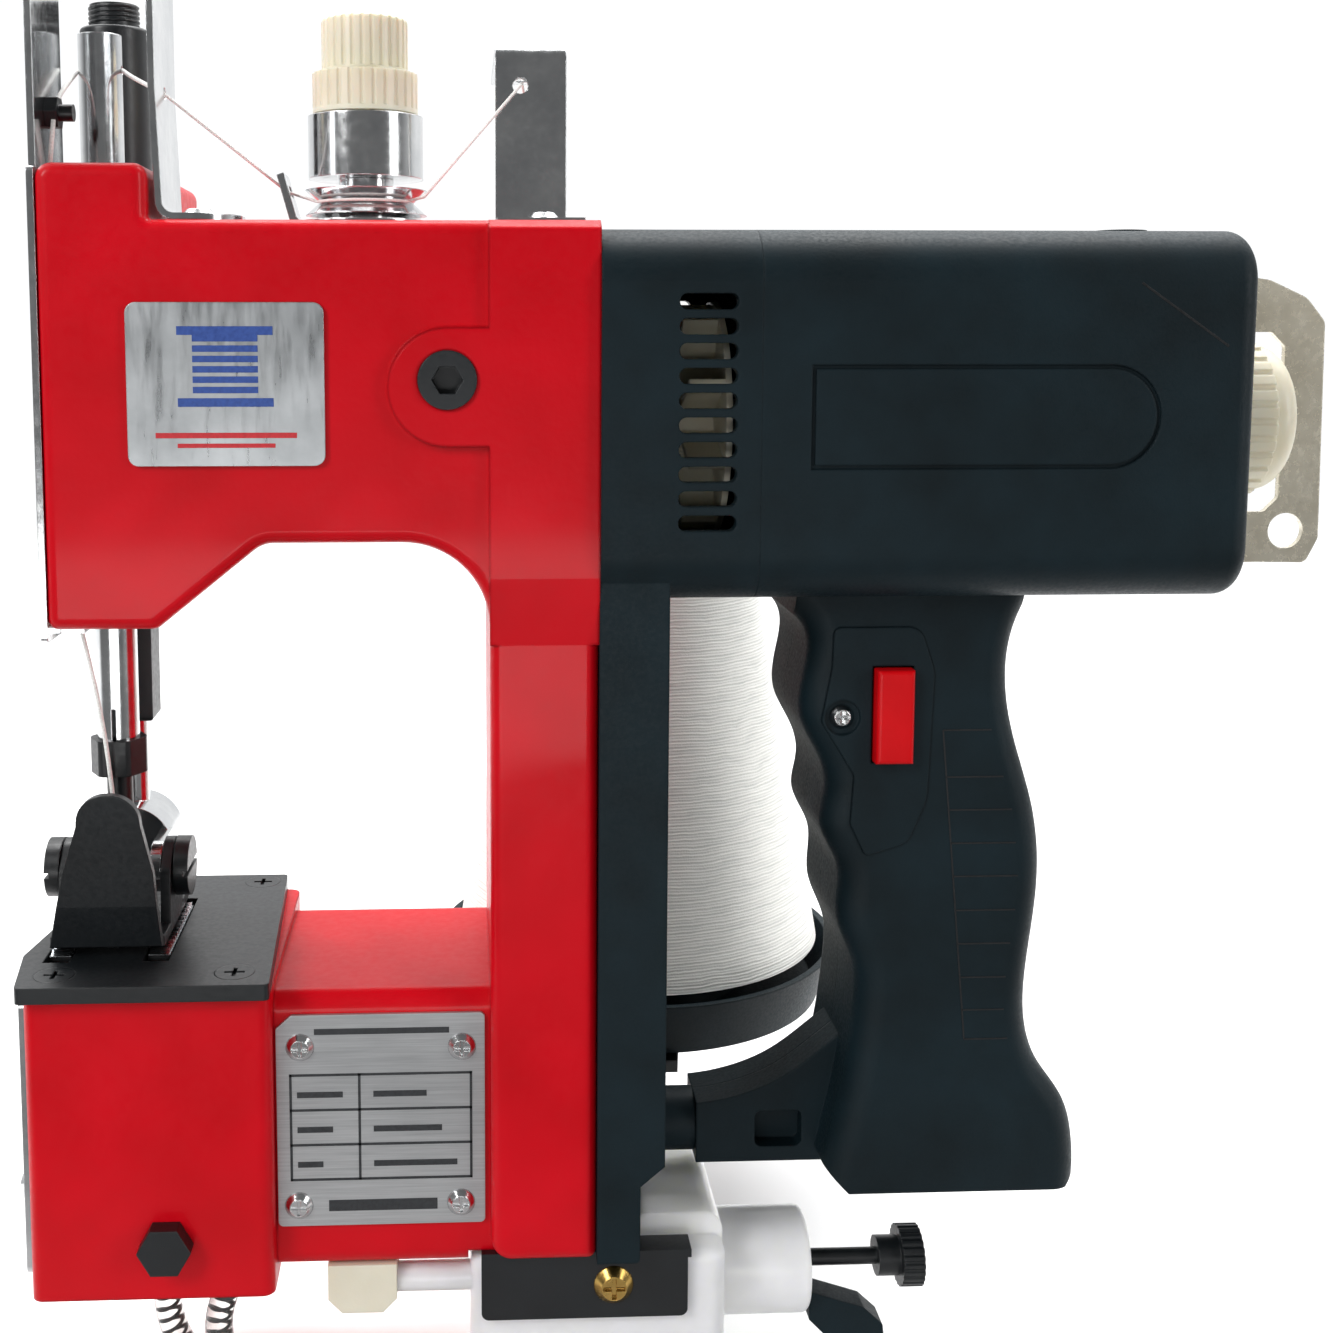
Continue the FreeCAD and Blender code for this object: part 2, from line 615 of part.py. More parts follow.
def cooling_fan():
    hub = ring("x", 17.6, 0, motorAxis, 8.0, motorShaftRadius, 8)
    disc = ring("x", 24.8, 0, motorAxis, 24.0, 7.5, 1.2)
    parts = [hub, disc]
    for i in range(9):
        blade = block(17.8, 25.0, 7.5, 23.6, motorAxis - 0.7, motorAxis + 0.7)
        blade.rotate(Vector(0, 0, motorAxis), Vector(1, 0, 0), 40.0 * i)
        parts.append(blade)
    return joined(parts)


def motor_bearings():
    pair = []
    for x in (wallLeft, bearingRight):
        pair.append(ring("x", x, 0, motorAxis, bearingOuter, motorShaftRadius + runFit, bearingWidth))
    return group(pair)


def motor_stator():
    """The laminated field core, and its two coil ends as their own solids."""
    length = statorSpan[1] - statorSpan[0]
    core = ring("x", statorSpan[0], 0, motorAxis, statorRadius, rotorRadius + 0.7, length)
    coils = [ring("x", x, 0, motorAxis, 25.0, 17.0, 6) for x in (statorSpan[0] - 6, statorSpan[1])]
    return group([core] + coils)


brushCapTop = 238.0


def brush_gear():
    """Two brass holders and the carbon brushes in them, above and below the commutator."""
    pieces = []
    for side, wall in ((1, housingTop - plasticWall), (-1, housingBottom + plasticWall)):
        low, high = sorted((motorAxis + side * 13.0, wall))
        holder = block(brushX - 4, brushX + 4, -4.5, 4.5, low, high)
        holder = holder.cut(block(brushX - 2.6, brushX + 2.6, -3.1, 3.1, low - 1, high + 1))
        low, high = sorted((motorAxis + side * (9.4 + apart), motorAxis + side * 24.0))
        pieces += [holder, block(brushX - 2.6, brushX + 2.6, -3.1, 3.1, low, high)]
    return group(pieces)


def brush_caps():
    """Slotted plugs over the brushes, one in the top wall and one in the bottom wall."""
    caps = []
    for inner, outer in ((housingTop - plasticWall, brushCapTop), (housingBottom + plasticWall, housingBottom - 1.5)):
        plug = rod("z", brushX, 0, min(inner, outer), 5.4, abs(outer - inner))
        caps.append(plug.cut(block(brushX - 4, brushX + 4, -0.6, 0.6, outer - 1, outer + 1)))
    return group(caps)


# ---- plastics ----
ventLeft = 14.4
ventRight = 25.4
ventTop = 222.8
ventPitch = 4.59
ventHeight = 3.0


def column_cover():
    """The belt cover: a narrow slab down the column that widens at the top for the fan."""
    side = halfDepth + 1.0
    low_end = columnBottom
    slab = prism_y([(0, low_end), (0, housingBottom + 12), (coverWidth, housingBottom + 12), (coverWidth, low_end, 1)],
                   -side, side)
    hump = prism_y([(coverWidth - 1, humpBottom - 3), (coverWidth - 1, housingBottom + 12),
                    (humpWidth, housingBottom + 12), (humpWidth, humpBottom + 2)], -side, side)
    head = round_along(block(0, housingLeft, -coverDepth, coverDepth, housingBottom, housingTop), 10.0, "X")
    boss = rod("x", coverWidth - 1, 0, strutZ, 6.55, 23.0 - coverWidth + 1)
    body = joined([slab, hump, head, boss])
    room = side - plasticWall
    inner = coverDepth - plasticWall
    belt_room = block(-1, coverWidth - 2.0, -room, room, columnBottom + 3, housingBottom + 6)
    hump_room = block(0, humpWidth - 2.0, -room, room, humpBottom + 5, housingBottom + 6)
    upper_room = block(-1, wallLeft - 2, -inner, inner, housingBottom + 3, housingTop - 3)
    fan_room = block(wallLeft, housingLeft + 1, -inner, inner, housingBottom + 3, housingTop - 3)
    rounded = round_along(block(-2, housingLeft + 2, -inner, inner, housingBottom + 3, housingTop - 3), 7.0, "X")
    body = body.cut(group([belt_room, hump_room, upper_room.common(rounded), fan_room.common(rounded)]))
    ribs = [ring("x", wallLeft - 0.5, 0, motorAxis, bearingOuter + 3, bearingOuter, bearingWidth + 0.5),
            block(wallLeft - 2, humpWidth, -room - 1, room + 1, housingBottom + 1, housingBottom + 7)]
    ribs[1] = ribs[1].cut(block(0, wallLeft - 2, -40, 40, 0, 300))
    body = joined([body] + ribs)
    cuts = [rod("x", 0, 0, motorAxis, bearingOuter - 4, wallLeft + 1),
            rod("x", wallLeft, 0, motorAxis, bearingOuter, bearingWidth + 1)]
    for i in range(10):
        z = ventTop - ventPitch * i
        for front in (-coverDepth - 1, coverDepth - 4):
            slot = block(ventLeft, ventRight, front, front + 5, z - ventHeight / 2, z + ventHeight / 2)
            cuts.append(round_along(slot, ventHeight / 2 - 0.05, "Y"))
    return body.cut(group(cuts))


strutZ = 48.4


def motor_housing():
    """The barrel, open to the belt cover, with ribs for the stator and a seat for the bearing."""
    body = block(housingLeft, housingRight, -coverDepth, coverDepth, housingBottom, housingTop)
    body = soften(round_along(body, 10.0, "X"), 4.0, "X", [housingRight])
    wall = plasticWall
    room = block(housingLeft - 1, housingRight - wall, -coverDepth + wall, coverDepth - wall,
                 housingBottom + wall, housingTop - wall)
    room = round_along(room, 7.0, "X")
    body = body.cut(room)
    ribs = []
    for a, b, c, d in ((-3, 3, -40, -statorRadius + 3), (-3, 3, statorRadius - 3, 40),
                       (-40, -statorRadius + 3, -3, 3), (statorRadius - 3, 40, -3, 3)):
        ribs.append(block(statorSpan[0] + 4, statorSpan[1] - 4, a, b, motorAxis + c, motorAxis + d))
    shell_core = block(housingLeft, housingRight, -coverDepth + 0.5, coverDepth - 0.5,
                       housingBottom + 0.5, housingTop - 0.5)
    rib_set = group(ribs).common(shell_core).cut(rod("x", housingLeft, 0, motorAxis, statorRadius, 96))
    seat = ring("x", bearingRight, 0, motorAxis, bearingOuter + 3.0, bearingOuter, housingRight - wall - bearingRight + 1)
    body = joined([body, seat] + rib_set.Solids)
    cuts = [rod("x", housingRight - wall - 1, 0, motorAxis, motorShaftRadius + 2, wall + 3),
            rod("z", brushX, 0, housingBottom - 1, 5.4, wall + 1),
            rod("z", brushX, 0, housingTop - wall, 5.4, wall + 1),
            prism_y([(39.3, 191.5), (39.3, 211.1), (105.7, 211.1, 9.7), (105.7, 191.5, 9.7)],
                    -coverDepth - 1, -coverDepth + 0.8)]
    for z in (plateScrewTop, plateScrewLow):
        cuts.append(rod("x", housingRight - 5, hangScrewY, z, 1.6, 6))
    return body.cut(group(cuts))


gripLeft = [(40.1, 161.0), (43.2, 155.5), (42.4, 148.5), (42.0, 140.0), (46.0, 131.5), (47.3, 125.0), (46.4, 118.0),
            (50.1, 109.0), (50.3, 98.0), (53.9, 88.0), (54.1, 79.0), (51.9, 62.0), (48.3, 45.2)]
gripRight = [(86.2, 161.4), (83.8, 150.0), (85.5, 137.1), (90.2, 121.0), (91.7, 107.0), (90.2, 90.0),
             (89.8, 77.3), (92.8, 67.1), (98.6, 58.4), (100.8, 50.0), (101.1, 43.0)]
strutTop = [(55.0, 71.0), (48.5, 65.8), (41.2, 60.4), (32.2, 56.6), (22.0, 54.9)]
footBottom = 40.6
gripRounding = 5.5


def curve(points):
    line = Part.BSplineCurve()
    line.interpolate([Vector(p[0], 0, p[1]) for p in points])
    return line.toShape()


def segment(a, b):
    return Part.LineSegment(Vector(a[0], 0, a[1]), Vector(b[0], 0, b[1])).toShape()


def handle_outline():
    edges = [segment((gripLeft[0][0], housingBottom), gripLeft[0]), curve(gripLeft),
             segment(gripLeft[-1], (53.0, footBottom)), segment((53.0, footBottom), (98.6, footBottom)),
             segment((98.6, footBottom), gripRight[-1]), curve(gripRight),
             segment(gripRight[0], (gripRight[0][0], housingBottom)),
             segment((gripRight[0][0], housingBottom), (gripLeft[0][0], housingBottom))]
    return Part.Face(Part.Wire(Part.__sortEdges__(edges)))


def handle_half(side):
    """One moulded half of the grip, with its half of the strut; side -1 is the front."""
    solid = handle_outline().extrude(Vector(0, side * gripHalf, 0))
    long_edges = [e for e in solid.Edges if on_plane(e, "Y", side * gripHalf) and e.BoundBox.ZLength > 60]
    solid = solid.makeFillet(gripRounding, long_edges)
    edges = [curve(strutTop), segment(strutTop[-1], (22.0, strutZ - 6.6)), segment((22.0, strutZ - 6.6), (55, strutZ - 6.6)),
             segment((55, strutZ - 6.6), strutTop[0])]
    strut = Part.Face(Part.Wire(Part.__sortEdges__(edges))).extrude(Vector(0, side * 7.0, 0))
    strut = strut.cut(rod("x", 20, 0, strutZ, 6.6, 3.0).fuse(block(20, 23, -20, 20, 30, 70)))
    solid = solid.fuse(strut).removeSplitter()
    low, high = sorted((side * 3.0, side * 12.0))
    solid = solid.cut(round_along(block(35.5, 45.5, low, high, 45, 53), 1.5, "Y"))
    inside = prism_y([(57.0, 60), (58.4, 80), (57.6, 88), (54.6, 99), (54.2, 108), (50.8, 119), (51.4, 127), (46.8, 137),
                      (46.7, 152), (46.6, 160), (80.5, 160), (80, 147), (82, 136), (86, 120), (87.4, 107), (86, 90),
                      (85.4, 77), (86.5, 60)], *sorted((0, side * (gripHalf - 4.0))))
    solid = solid.cut(inside)
    if side < 0:
        panel = prism_y(panel_corners(), -gripHalf - 1, -gripHalf + panelDeep)
        x0, x1, z0, z1 = buttonSpot
        opening = block(x0 - apart, x1 + apart, -gripHalf - 1, -5, z0 - apart, z1 + apart)
        solid = solid.cut(group([panel, opening, rod("y", panelScrew[0], -gripHalf - 1, panelScrew[1], 1.6, 7.5)]))
    return solid


panelDeep = 2.0
buttonSpot = (55.8, 63.3, 131.9, 150.8)
panelScrew = (49.6, 140.8)


def panel_corners():
    return [(47.6, 159.0, 1.5), (64.9, 159.0, 3.5), (67.9, 150.0, 8), (67.0, 124.0, 12), (63.2, 115.0, 4),
            (54.8, 112.4, 1), (51.6, 119.0, 2), (52.2, 129.0, 2), (45.4, 140, 2), (47.4, 151.0, 2)]


def switch_panel():
    plate = prism_y(panel_corners(), -gripHalf - 0.4, -gripHalf + panelDeep)
    opening = block(buttonSpot[0] - apart, buttonSpot[1] + apart, -gripHalf - 1, -gripHalf + 3,
                    buttonSpot[2] - apart, buttonSpot[3] + apart)
    recess = rod("y", panelScrew[0], -gripHalf - 1, panelScrew[1], 3.6, 1.8)
    hole = rod("y", panelScrew[0], -gripHalf - 1, panelScrew[1], 1.6, 5)
    return plate.cut(group([opening, recess, hole]))


buttonTravel = 2.6
buttonProud = 3.4


def switch_button():
    x0, x1, z0, z1 = buttonSpot
    key = block(x0, x1, -gripHalf - buttonProud, -gripHalf + 4.5, z0, z1)
    key = soften(key, 0.8, "Y", [-gripHalf - buttonProud])
    stem = block(x0 + 2, x1 - 2, -gripHalf + 4.5, -gripHalf + 7.0, z0 + 6, z1 - 6)
    return key.fuse(stem).removeSplitter()


def switch_body():
    """The switch behind the panel, with a well for the button and a deeper one for its stem."""
    x0, x1, z0, z1 = buttonSpot
    body = block(x0 - 4, x1 + 4, -gripHalf + 4.0, 0, z0 - 3, z1 + 3)
    rest = -gripHalf + 4.5 + buttonTravel + apart
    well = block(x0 - 0.6, x1 + 0.6, -gripHalf, rest, z0 - 0.6, z1 + 0.6)
    deep = block(x0 + 1.4, x1 - 1.4, -gripHalf, rest + 2.5, z0 + 5.4, z1 - 5.4)
    return body.cut(group([well, deep]))


def handwheel():
    """The ribbed nylon wheel on the motor shaft's end, with a domed face."""
    wheel = rod("x", wheelLeft, 0, motorAxis, wheelRadius, 11.5)
    dome = soften(rod("x", wheelLeft + 11, 0, motorAxis, 15.2, wheelRight - wheelLeft - 11), 4.5, "X", [wheelRight])
    body = joined([wheel, dome])
    grooves = []
    for i in range(30):
        a = 2 * math.pi * i / 30
        grooves.append(rod("x", wheelLeft + 1.5, (wheelRadius + 0.3) * math.cos(a),
                           motorAxis + (wheelRadius + 0.3) * math.sin(a), 0.8, 12))
    body = body.cut(group(grooves))
    return body.cut(rod("x", wheelLeft - 1, 0, motorAxis, motorShaftRadius, wheelRight - 4 - wheelLeft + 1))


plateScrewTop = 226.0
plateScrewLow = 173.0
hangScrewY = -18.5
hangHole = (housingRight + 25.3, 175.1)
hangHoleRadius = 3.8
hangPlateY = 3.5
hangThickness = 1.5


def hanging_plate():
    """The stainless hook plate round the hand wheel, with feet screwed to the end wall."""
    end = housingRight
    outline = [(0, 231.0), (19.5, 228.2, 6), (27.6, 224.5, 4), (31.7, 219.5, 2.5),
               (32.5, 173.5, 2), (29.9, 168.2, 2), (19.3, 168.4, 6), (0, 168.0),
               (0, 179.2), (20.4, 179.2, 1), (23.4, 182.2, 1), (23.4, 214.3, 1), (20.4, 217.3, 1), (0, 217.3)]
    outline = [(end + corner[0],) + corner[1:] for corner in outline]
    plate = prism_y(outline, hangPlateY, hangPlateY + hangThickness)
    feet = []
    for z0, z1 in ((220.0, 230.9), (168.1, 178.0)):
        foot = block(end, end + hangThickness, -22.0, hangPlateY + hangThickness, z0, z1)
        feet.append(foot)
    body = joined([plate] + feet)
    cuts = [rod("y", hangHole[0], hangPlateY - 1, hangHole[1], hangHoleRadius, 4)]
    for z in (plateScrewTop, plateScrewLow):
        cuts.append(rod("x", end - 1, hangScrewY, z, 1.6, 4))
    return body.cut(group(cuts))


def pan_screw(axis, spot, direction, head, thread, length):
    """A round-headed screw: its head stands on the spot and its thread goes in against direction."""
    x, y, z = spot
    lift = head * 0.42
    step = axes[axis] * direction
    base = Vector(x, y, z)
    top = Part.makeCone(head, head * 0.62, lift, base, step)
    shank = Part.makeCylinder(thread, length, base - step * length, step)
    cross = []
    tip = base + step * lift
    for turn in (0, 1):
        slot = Part.makeBox(head * 1.1, head * 0.24, lift, Vector(-head * 0.55, -head * 0.12, -lift * 0.5))
        slot.rotate(Vector(0, 0, 0), Vector(0, 0, 1), 90.0 * turn)
        turnTo = FreeCAD.Rotation(Vector(0, 0, 1), step)
        slot.Placement = FreeCAD.Placement(tip, turnTo).multiply(slot.Placement)
        cross.append(slot)
    return top.fuse(shank).removeSplitter().cut(group(cross))


smallScrewRadius = 1.45
plateScrewRadius = 4.0


def nameplate_spots():
    return [(-58.3, 77.5), (-26.5, 77.1), (-58.9, 44.8), (-26.8, 44.8)]


def nameplate():
    y = -lowerArmHalf
    plate = prism_y([(-63.0, 40.5, 1), (-63.0, 81.3, 0.5), (-60.0, 84.0, 0.5), (-22.0, 84.0, 1), (-22.0, 40.5, 1)],
                    y - 0.8, y)
    return plate.cut(group([rod("y", p[0], y - 2, p[1], smallScrewRadius, 4) for p in nameplate_spots()]))


def nameplate_screws():
    return group([pan_screw("y", (p[0], -lowerArmHalf - 0.8, p[1]), -1, 2.8, smallScrewRadius, 5.0)
                  for p in nameplate_spots()])


def badge_plate():
    corners = [(-87.6, 192.4, 2), (-87.6, 222.6, 2), (-51.3, 222.6, 2), (-51.3, 192.4, 2)]
    return prism_y(corners, -halfDepth - 0.8, -halfDepth)


plateRight = -63.3
plateFront = -32.5
plateBack = 31.0


def plate_spots():
    return [(-105.4, -26.0), (-70.7, -26.0), (-71.6, 26.2)]


def throat_plate():
    """The plate on the looper box, with slots for the feed rows and the needle's hole."""
    corners = [(-111.5, plateFront, 1), (plateRight, plateFront, 1), (plateRight - 3.2, plateBack, 1),
               (-108.0, plateBack, 1), (-111.5, 0, 4), (-114.0, -16, 3)]
    plate = prism_z(corners, plateBottom, plateTop)
    reach = feedTravel + apart
    cuts = [rod("z", needleX, needleY, plateBottom - 1, 2.2, 6)]
    for side in (-1, 1):
        mid = footX + 0.4 + side * feedHalf
        half = feedRow + apart
        cuts.append(block(mid - half, mid + half, -16 - reach, 12 + reach, plateBottom - 1, plateTop + 1))
    for x, y in plate_spots():
        cuts.append(frustum("z", x, y, plateTop - 2.2, smallScrewRadius, plateScrewRadius, 2.2))
        cuts.append(rod("z", x, y, plateBottom - 1, smallScrewRadius, 5))
    return plate.cut(group(cuts))


def throat_plate_screws():
    screws = []
    for x, y in plate_spots():
        head = frustum("z", x, y, plateTop - 2.2, smallScrewRadius, plateScrewRadius, 2.2)
        shank = rod("z", x, y, boxTop - 5.0, smallScrewRadius, plateTop - 2.2 - boxTop + 5.0)
        screw = head.fuse(shank).removeSplitter()
        for wide, deep in ((2.0, 0.4), (0.4, 2.0)):
            screw = screw.cut(block(x - wide, x + wide, y - deep, y + deep, plateTop - 0.9, plateTop + 1))
        screws.append(screw)
    return group(screws)


coverScrewZ = 48.5
sheet = 1.3


def looper_cover():
    plate = block(boxLeft - sheet, boxLeft, -27, 27, 32, 89)
    plate = round_along(plate, 2.0, "X")
    return plate.cut(rod("x", boxLeft - 3, -22, coverScrewZ, smallScrewRadius, 6))


# ---- thread guard, tension and guides ----
guardFront = -27.0
guardBack = -6.0
guardTop = 296.0
guardRight = -81.8
guardFoot = -67.4
takeupZ = 258.3
takeupY = -17.0
eyeletZ = 262.0


def needle_bar_guard():
    """One bent strip: face plate on the head, arch over the needle bar and foot on the arm."""
    x0, x1 = headLeft - sheet, headLeft
    face = prism_x([(-29, headBottom - 2.4, 1), (-29, headTop - 0.6, 1), (24.0, headTop - 0.6, 4),
                    (24.0, headBottom + 1, 4), (-6.0, headBottom - 2.4, 2)], x0, x1)
    leg = guardRight - 1.3
    arch = prism_y([(x0, headTop - 3), (x0, guardTop, 7), (guardRight, guardTop, 7), (guardRight, 262),
                    (guardRight + 0.9, armTop + sheet, 2.0), (guardFoot, armTop + sheet), (guardFoot, armTop),
                    (leg + 0.9, armTop, 3.3), (leg, 262), (leg, guardTop - sheet, 5.7), (x1, guardTop - sheet, 5.7),
                    (x1, headTop - 3)], guardFront, guardBack)
    rounding = prism_z([(-110, guardFront), (guardFoot, guardFront, 9), (guardFoot, guardBack, 9), (-110, guardBack)],
                       armTop - 1, guardTop + 1)
    arch = arch.common(rounding)
    lip = block(x0, headLeft + 4.5, -19.0, -9.0, headBottom - 2.4, headBottom - 1.2)
    body = joined([face, arch, lip])
    cuts = [rod("x", x0 - 1, takeupY, takeupZ, 1.6, 3), rod("x", guardRight - 3, takeupY, eyeletZ, 1.2, 4),
            rod("z", headLeft + 2.4, -14, headBottom - 4, 0.9, 5),
            rod("z", guardScrew[0], guardScrew[1], armTop - 1, 2.0, 6)]
    return body.cut(group(cuts))


def dark_screws():
    """The take-up screw with its washer and nut on the guard, and the hook plate's two screws."""
    x = headLeft - sheet
    bolt = rod("x", x, takeupY, takeupZ, 1.6, 6.2)
    bolt = bolt.fuse(frustum("x", x - 1.6, takeupY, takeupZ, 1.6, 2.45, 1.6)).removeSplitter()
    nut = hexagon("x", headLeft, takeupY, takeupZ, 5.5, 2.3).cut(rod("x", headLeft - 1, takeupY, takeupZ, 1.6, 5))
    hook = [pan_screw("x", (housingRight + hangThickness, hangScrewY, z), 1, 3.2, 1.6, hangThickness + 5)
            for z in (plateScrewTop, plateScrewLow)]
    return group([bolt, nut] + hook)


guardScrew = (-76.0, -16.0)
bracketScrew = (-9.7, -10.0)
bracketLeft = -19.0
bracketRight = -4.8
bracketTop = 275.0
tensionX = -45.0
tensionY = 0.0


def top_screws():
    """The screws and the tension stud that go into the arm's top: (place, axis, thread radius)."""
    lip = armTop + sheet
    return [((guardScrew[0], guardScrew[1], lip), "z", 2.0),
            ((bracketScrew[0], bracketScrew[1], lip), "z", 2.0),
            ((tensionX, tensionY, armTop), "z", 2.5)]


def nickel_screws():
    """Round-headed screws of one finish, and the nut under the spool tray."""
    screws = []
    for spot, axis, thread in top_screws()[:2]:
        screws.append(pan_screw(axis, spot, 1, 3.5, thread, sheet + 5.0))
    screws.append(pan_screw("x", (boxLeft - sheet, -22, coverScrewZ), -1, 3.7, smallScrewRadius, sheet + 5.0))
    screws.append(pan_screw("y", (panelScrew[0], -gripHalf + 0.8, panelScrew[1]), -1, 2.5, 1.6, 5.6))
    for z in (trayBottom + 8, trayBottom + 19):
        screws.append(pan_screw("y", (-10.6, halfDepth + 3.0, z), 1, 3.8, 2.0, 8.0))
    nut = hexagon("z", trayX, trayY, trayBottom - 8.0, 8.0, 4.0).cut(rod("z", trayX, trayY, trayBottom - 12, 2.5, 10))
    return group(screws + [nut])


def thread_bracket():
    """The upright plate behind the tension, bent back at its top towards the cone."""
    side = [(-18.0, armTop), (-18.0, armTop + sheet), (-3.3, armTop + sheet, 0.5), (-3.3, bracketTop, 5.0),
            (46.0, bracketTop), (46.0, bracketTop - sheet), (-2.0, bracketTop - sheet, 3.7), (-2.0, armTop)]
    plate = prism_x(side, bracketLeft, bracketRight)
    foot = block(bracketRight - 1, -2.0, -18.0, -3.3, armTop, armTop + sheet)
    body = joined([plate, foot])
    cuts = [rod("z", bracketScrew[0], bracketScrew[1], armTop - 1, 2.0, 5),
            rod("z", backHole[0], backHole[1], bracketTop - 4, 1.5, 8),
            rod("y", frontHole[0], -5, frontHole[1], 1.5, 5)]
    return body.cut(group(cuts))


backHole = (-12.0, 41.0)
frontHole = (-14.0, 266.0)


def tension_base():
    """The base washer with its hub and upturned tail with a thread slot, standing on the arm."""
    disc = rod("z", tensionX, tensionY, armTop, 13.7, 1.5)
    hub = rod("z", tensionX, tensionY, armTop, 5.5, discBottom - armTop)
    side = [(-10, 0), (-13.4, 0), (-14.8, 1.0), (-17.4, 10.4), (-16.0, 10.9), (-13.6, 2.2), (-13.0, 1.5), (-10, 1.5)]
    tail = prism_y([(tensionX + u, armTop + v) for u, v in side], -5, 5)
    body = joined([disc, hub, tail])
    slot = block(tensionX - 22, tensionX - 13.5, -2.2, 2.2, armTop + 6.4, armTop + 8.6)
    return body.cut(group([slot, rod("z", tensionX, tensionY, armTop - 1, 2.5, 9)]))


discBottom = armTop + 4.4
knobStep = 268.4
knobTop = 279.2
cupTop = 260.0
cupBottom = 247.7


def tension_discs():
    """Two dished discs, back to back, that pinch the thread."""
    thick = 0.8
    waist, rim = 9.5, 12.2
    lower = frustum("z", tensionX, tensionY, discBottom - 1.7, rim, waist, 1.7 + thick)
    lower = lower.cut(frustum("z", tensionX, tensionY, discBottom - 1.7 - thick, rim, waist, 1.7 + thick))
    upper = frustum("z", tensionX, tensionY, discBottom + thick, waist, rim, 1.7 + thick)
    upper = upper.cut(frustum("z", tensionX, tensionY, discBottom + 2 * thick, waist, rim, 1.7 + thick))
    core = rod("z", tensionX, tensionY, discBottom - 3, 2.5, 9)
    return group([lower.cut(core), upper.cut(core)])


def tension_stud_and_spring():
    """The stud, the spacer on the discs, the cup and the flat spring coils in it."""
    floor = discBottom + 1.6
    stud = rod("z", tensionX, tensionY, armTop - 5.0, 2.5, 30.0)
    spacer = ring("z", tensionX, tensionY, floor, 5.5, 2.5, cupBottom - floor)
    cup = ring("z", tensionX, tensionY, cupBottom, 11.5, 10.7, cupTop - cupBottom)
    cup = cup.fuse(ring("z", tensionX, tensionY, cupBottom, 11.0, 2.5, 1.2)).removeSplitter()
    spring = ring("z", tensionX, tensionY, cupBottom + 1.2, 7.0, 5.0, 2.6)
    return group([stud, spacer, cup, spring])


def tension_knob():
    """The stepped ribbed nylon knob; its lower skirt turns inside the cup."""
    skirt = rod("z", tensionX, tensionY, cupBottom + 4.4, 9.9, 14)
    wide = rod("z", tensionX, tensionY, cupTop + apart, 10.5, knobStep - cupTop - apart)
    cap = soften(rod("z", tensionX, tensionY, knobStep, 8.6, knobTop - knobStep), 1.0, "Z", [knobTop])
    body = joined([skirt, wide, cap])
    grooves = []
    for i in range(28):
        a = 2 * math.pi * i / 28
        u, v = math.cos(a), math.sin(a)
        grooves.append(rod("z", tensionX + 8.8 * u, tensionY + 8.8 * v, knobStep + 0.8, 0.5, 20))
        grooves.append(rod("z", tensionX + 10.7 * u, tensionY + 10.7 * v, cupTop + 1.4, 0.5, knobStep - cupTop))
    body = body.cut(group(grooves))
    return body.cut(rod("z", tensionX, tensionY, cupBottom, 2.5 + runFit, armTop + 25.5 - cupBottom))


# ---- oil pump and hoses ----
tankLeft = -25.0
neckRadius = 2.9
neckZ = 26.0
neckY = -20.0
fittingLeft = -53.6
fittingRight = -39.8
tankRight = tankLeft + tankLength


def oil_tank():
    """The translucent tank with its raised right end, pump barrel and outlet pipe."""
    floor = -tankDrop
    body = block(tankLeft, tankRight, tankFront, tankBack, floor, tankHeight)
    body = soften(round_along(body, 4.0, "Z"), 2.0, "Z", [floor, tankHeight])
    hump = prism_y([(coverWidth + 1.0, tankHeight - 6), (coverWidth + 1.0, 37.0, 2), (tankRight, 37.0, 4),
                    (tankRight, tankHeight - 12)], -18, 18)
    barrel = soften(rod("x", tankRight - 6, pumpY, pumpAxis, pumpRadius, 25.8), 1.6, "X", [tankRight + 19.8])
    pipe = rod("x", fittingRight - 1.0, neckY, neckZ, neckRadius, tankLeft + 6 - fittingRight + 1.0)
    outside = joined([body, hump, barrel, pipe])
    wall = 1.8
    inside = joined([block(tankLeft + wall, tankRight - wall, tankFront + wall, tankBack - wall, floor + wall,
                           tankHeight - wall), rod("x", tankRight - 8, pumpY, pumpAxis, pumpRadius - wall, 26)])
    outlet = rod("x", fittingRight - 2, neckY, neckZ, neckRadius - 1.2, tankLeft + 6 - fittingRight)
    guide = rod("x", tankRight, pumpY, pumpAxis, stemRadius + runFit, 30)
    screw = rod("y", tankScrew[0], tankFront - 1, tankScrew[1], 2.0, 4.4)
    pad = rod("y", tankScrew[0], tankFront + 1, tankScrew[1], 4.0, 3.0)
    return joined([outside.cut(inside), pad]).cut(group([outlet, guide, screw]))


tankFront = -25.0
tankBack = 21.0
pumpY = -5.0
stemRadius = 1.75


def oil_plunger():
    """The pump rod with its piston, boss and knurled knob."""
    left = tankRight + plungerTravel + 1.5
    stem = rod("x", left, pumpY, pumpAxis, stemRadius, 66.0 - left)
    piston = rod("x", left - 3.0, pumpY, pumpAxis, pumpRadius - 1.8 - 0.15, 3.0)
    boss = rod("x", 62.5, pumpY, pumpAxis, 4.1, 5.0)
    knob = rod("x", 67.3, pumpY, pumpAxis, 6.3, 4.6)
    ribs = []
    for i in range(24):
        a = 2 * math.pi * i / 24
        ribs.append(rod("x", 66, pumpY + 6.5 * math.cos(a), pumpAxis + 6.5 * math.sin(a), 0.5, 7))
    return joined([stem, piston, boss, knob.cut(group(ribs))])


bracketThick = 1.6


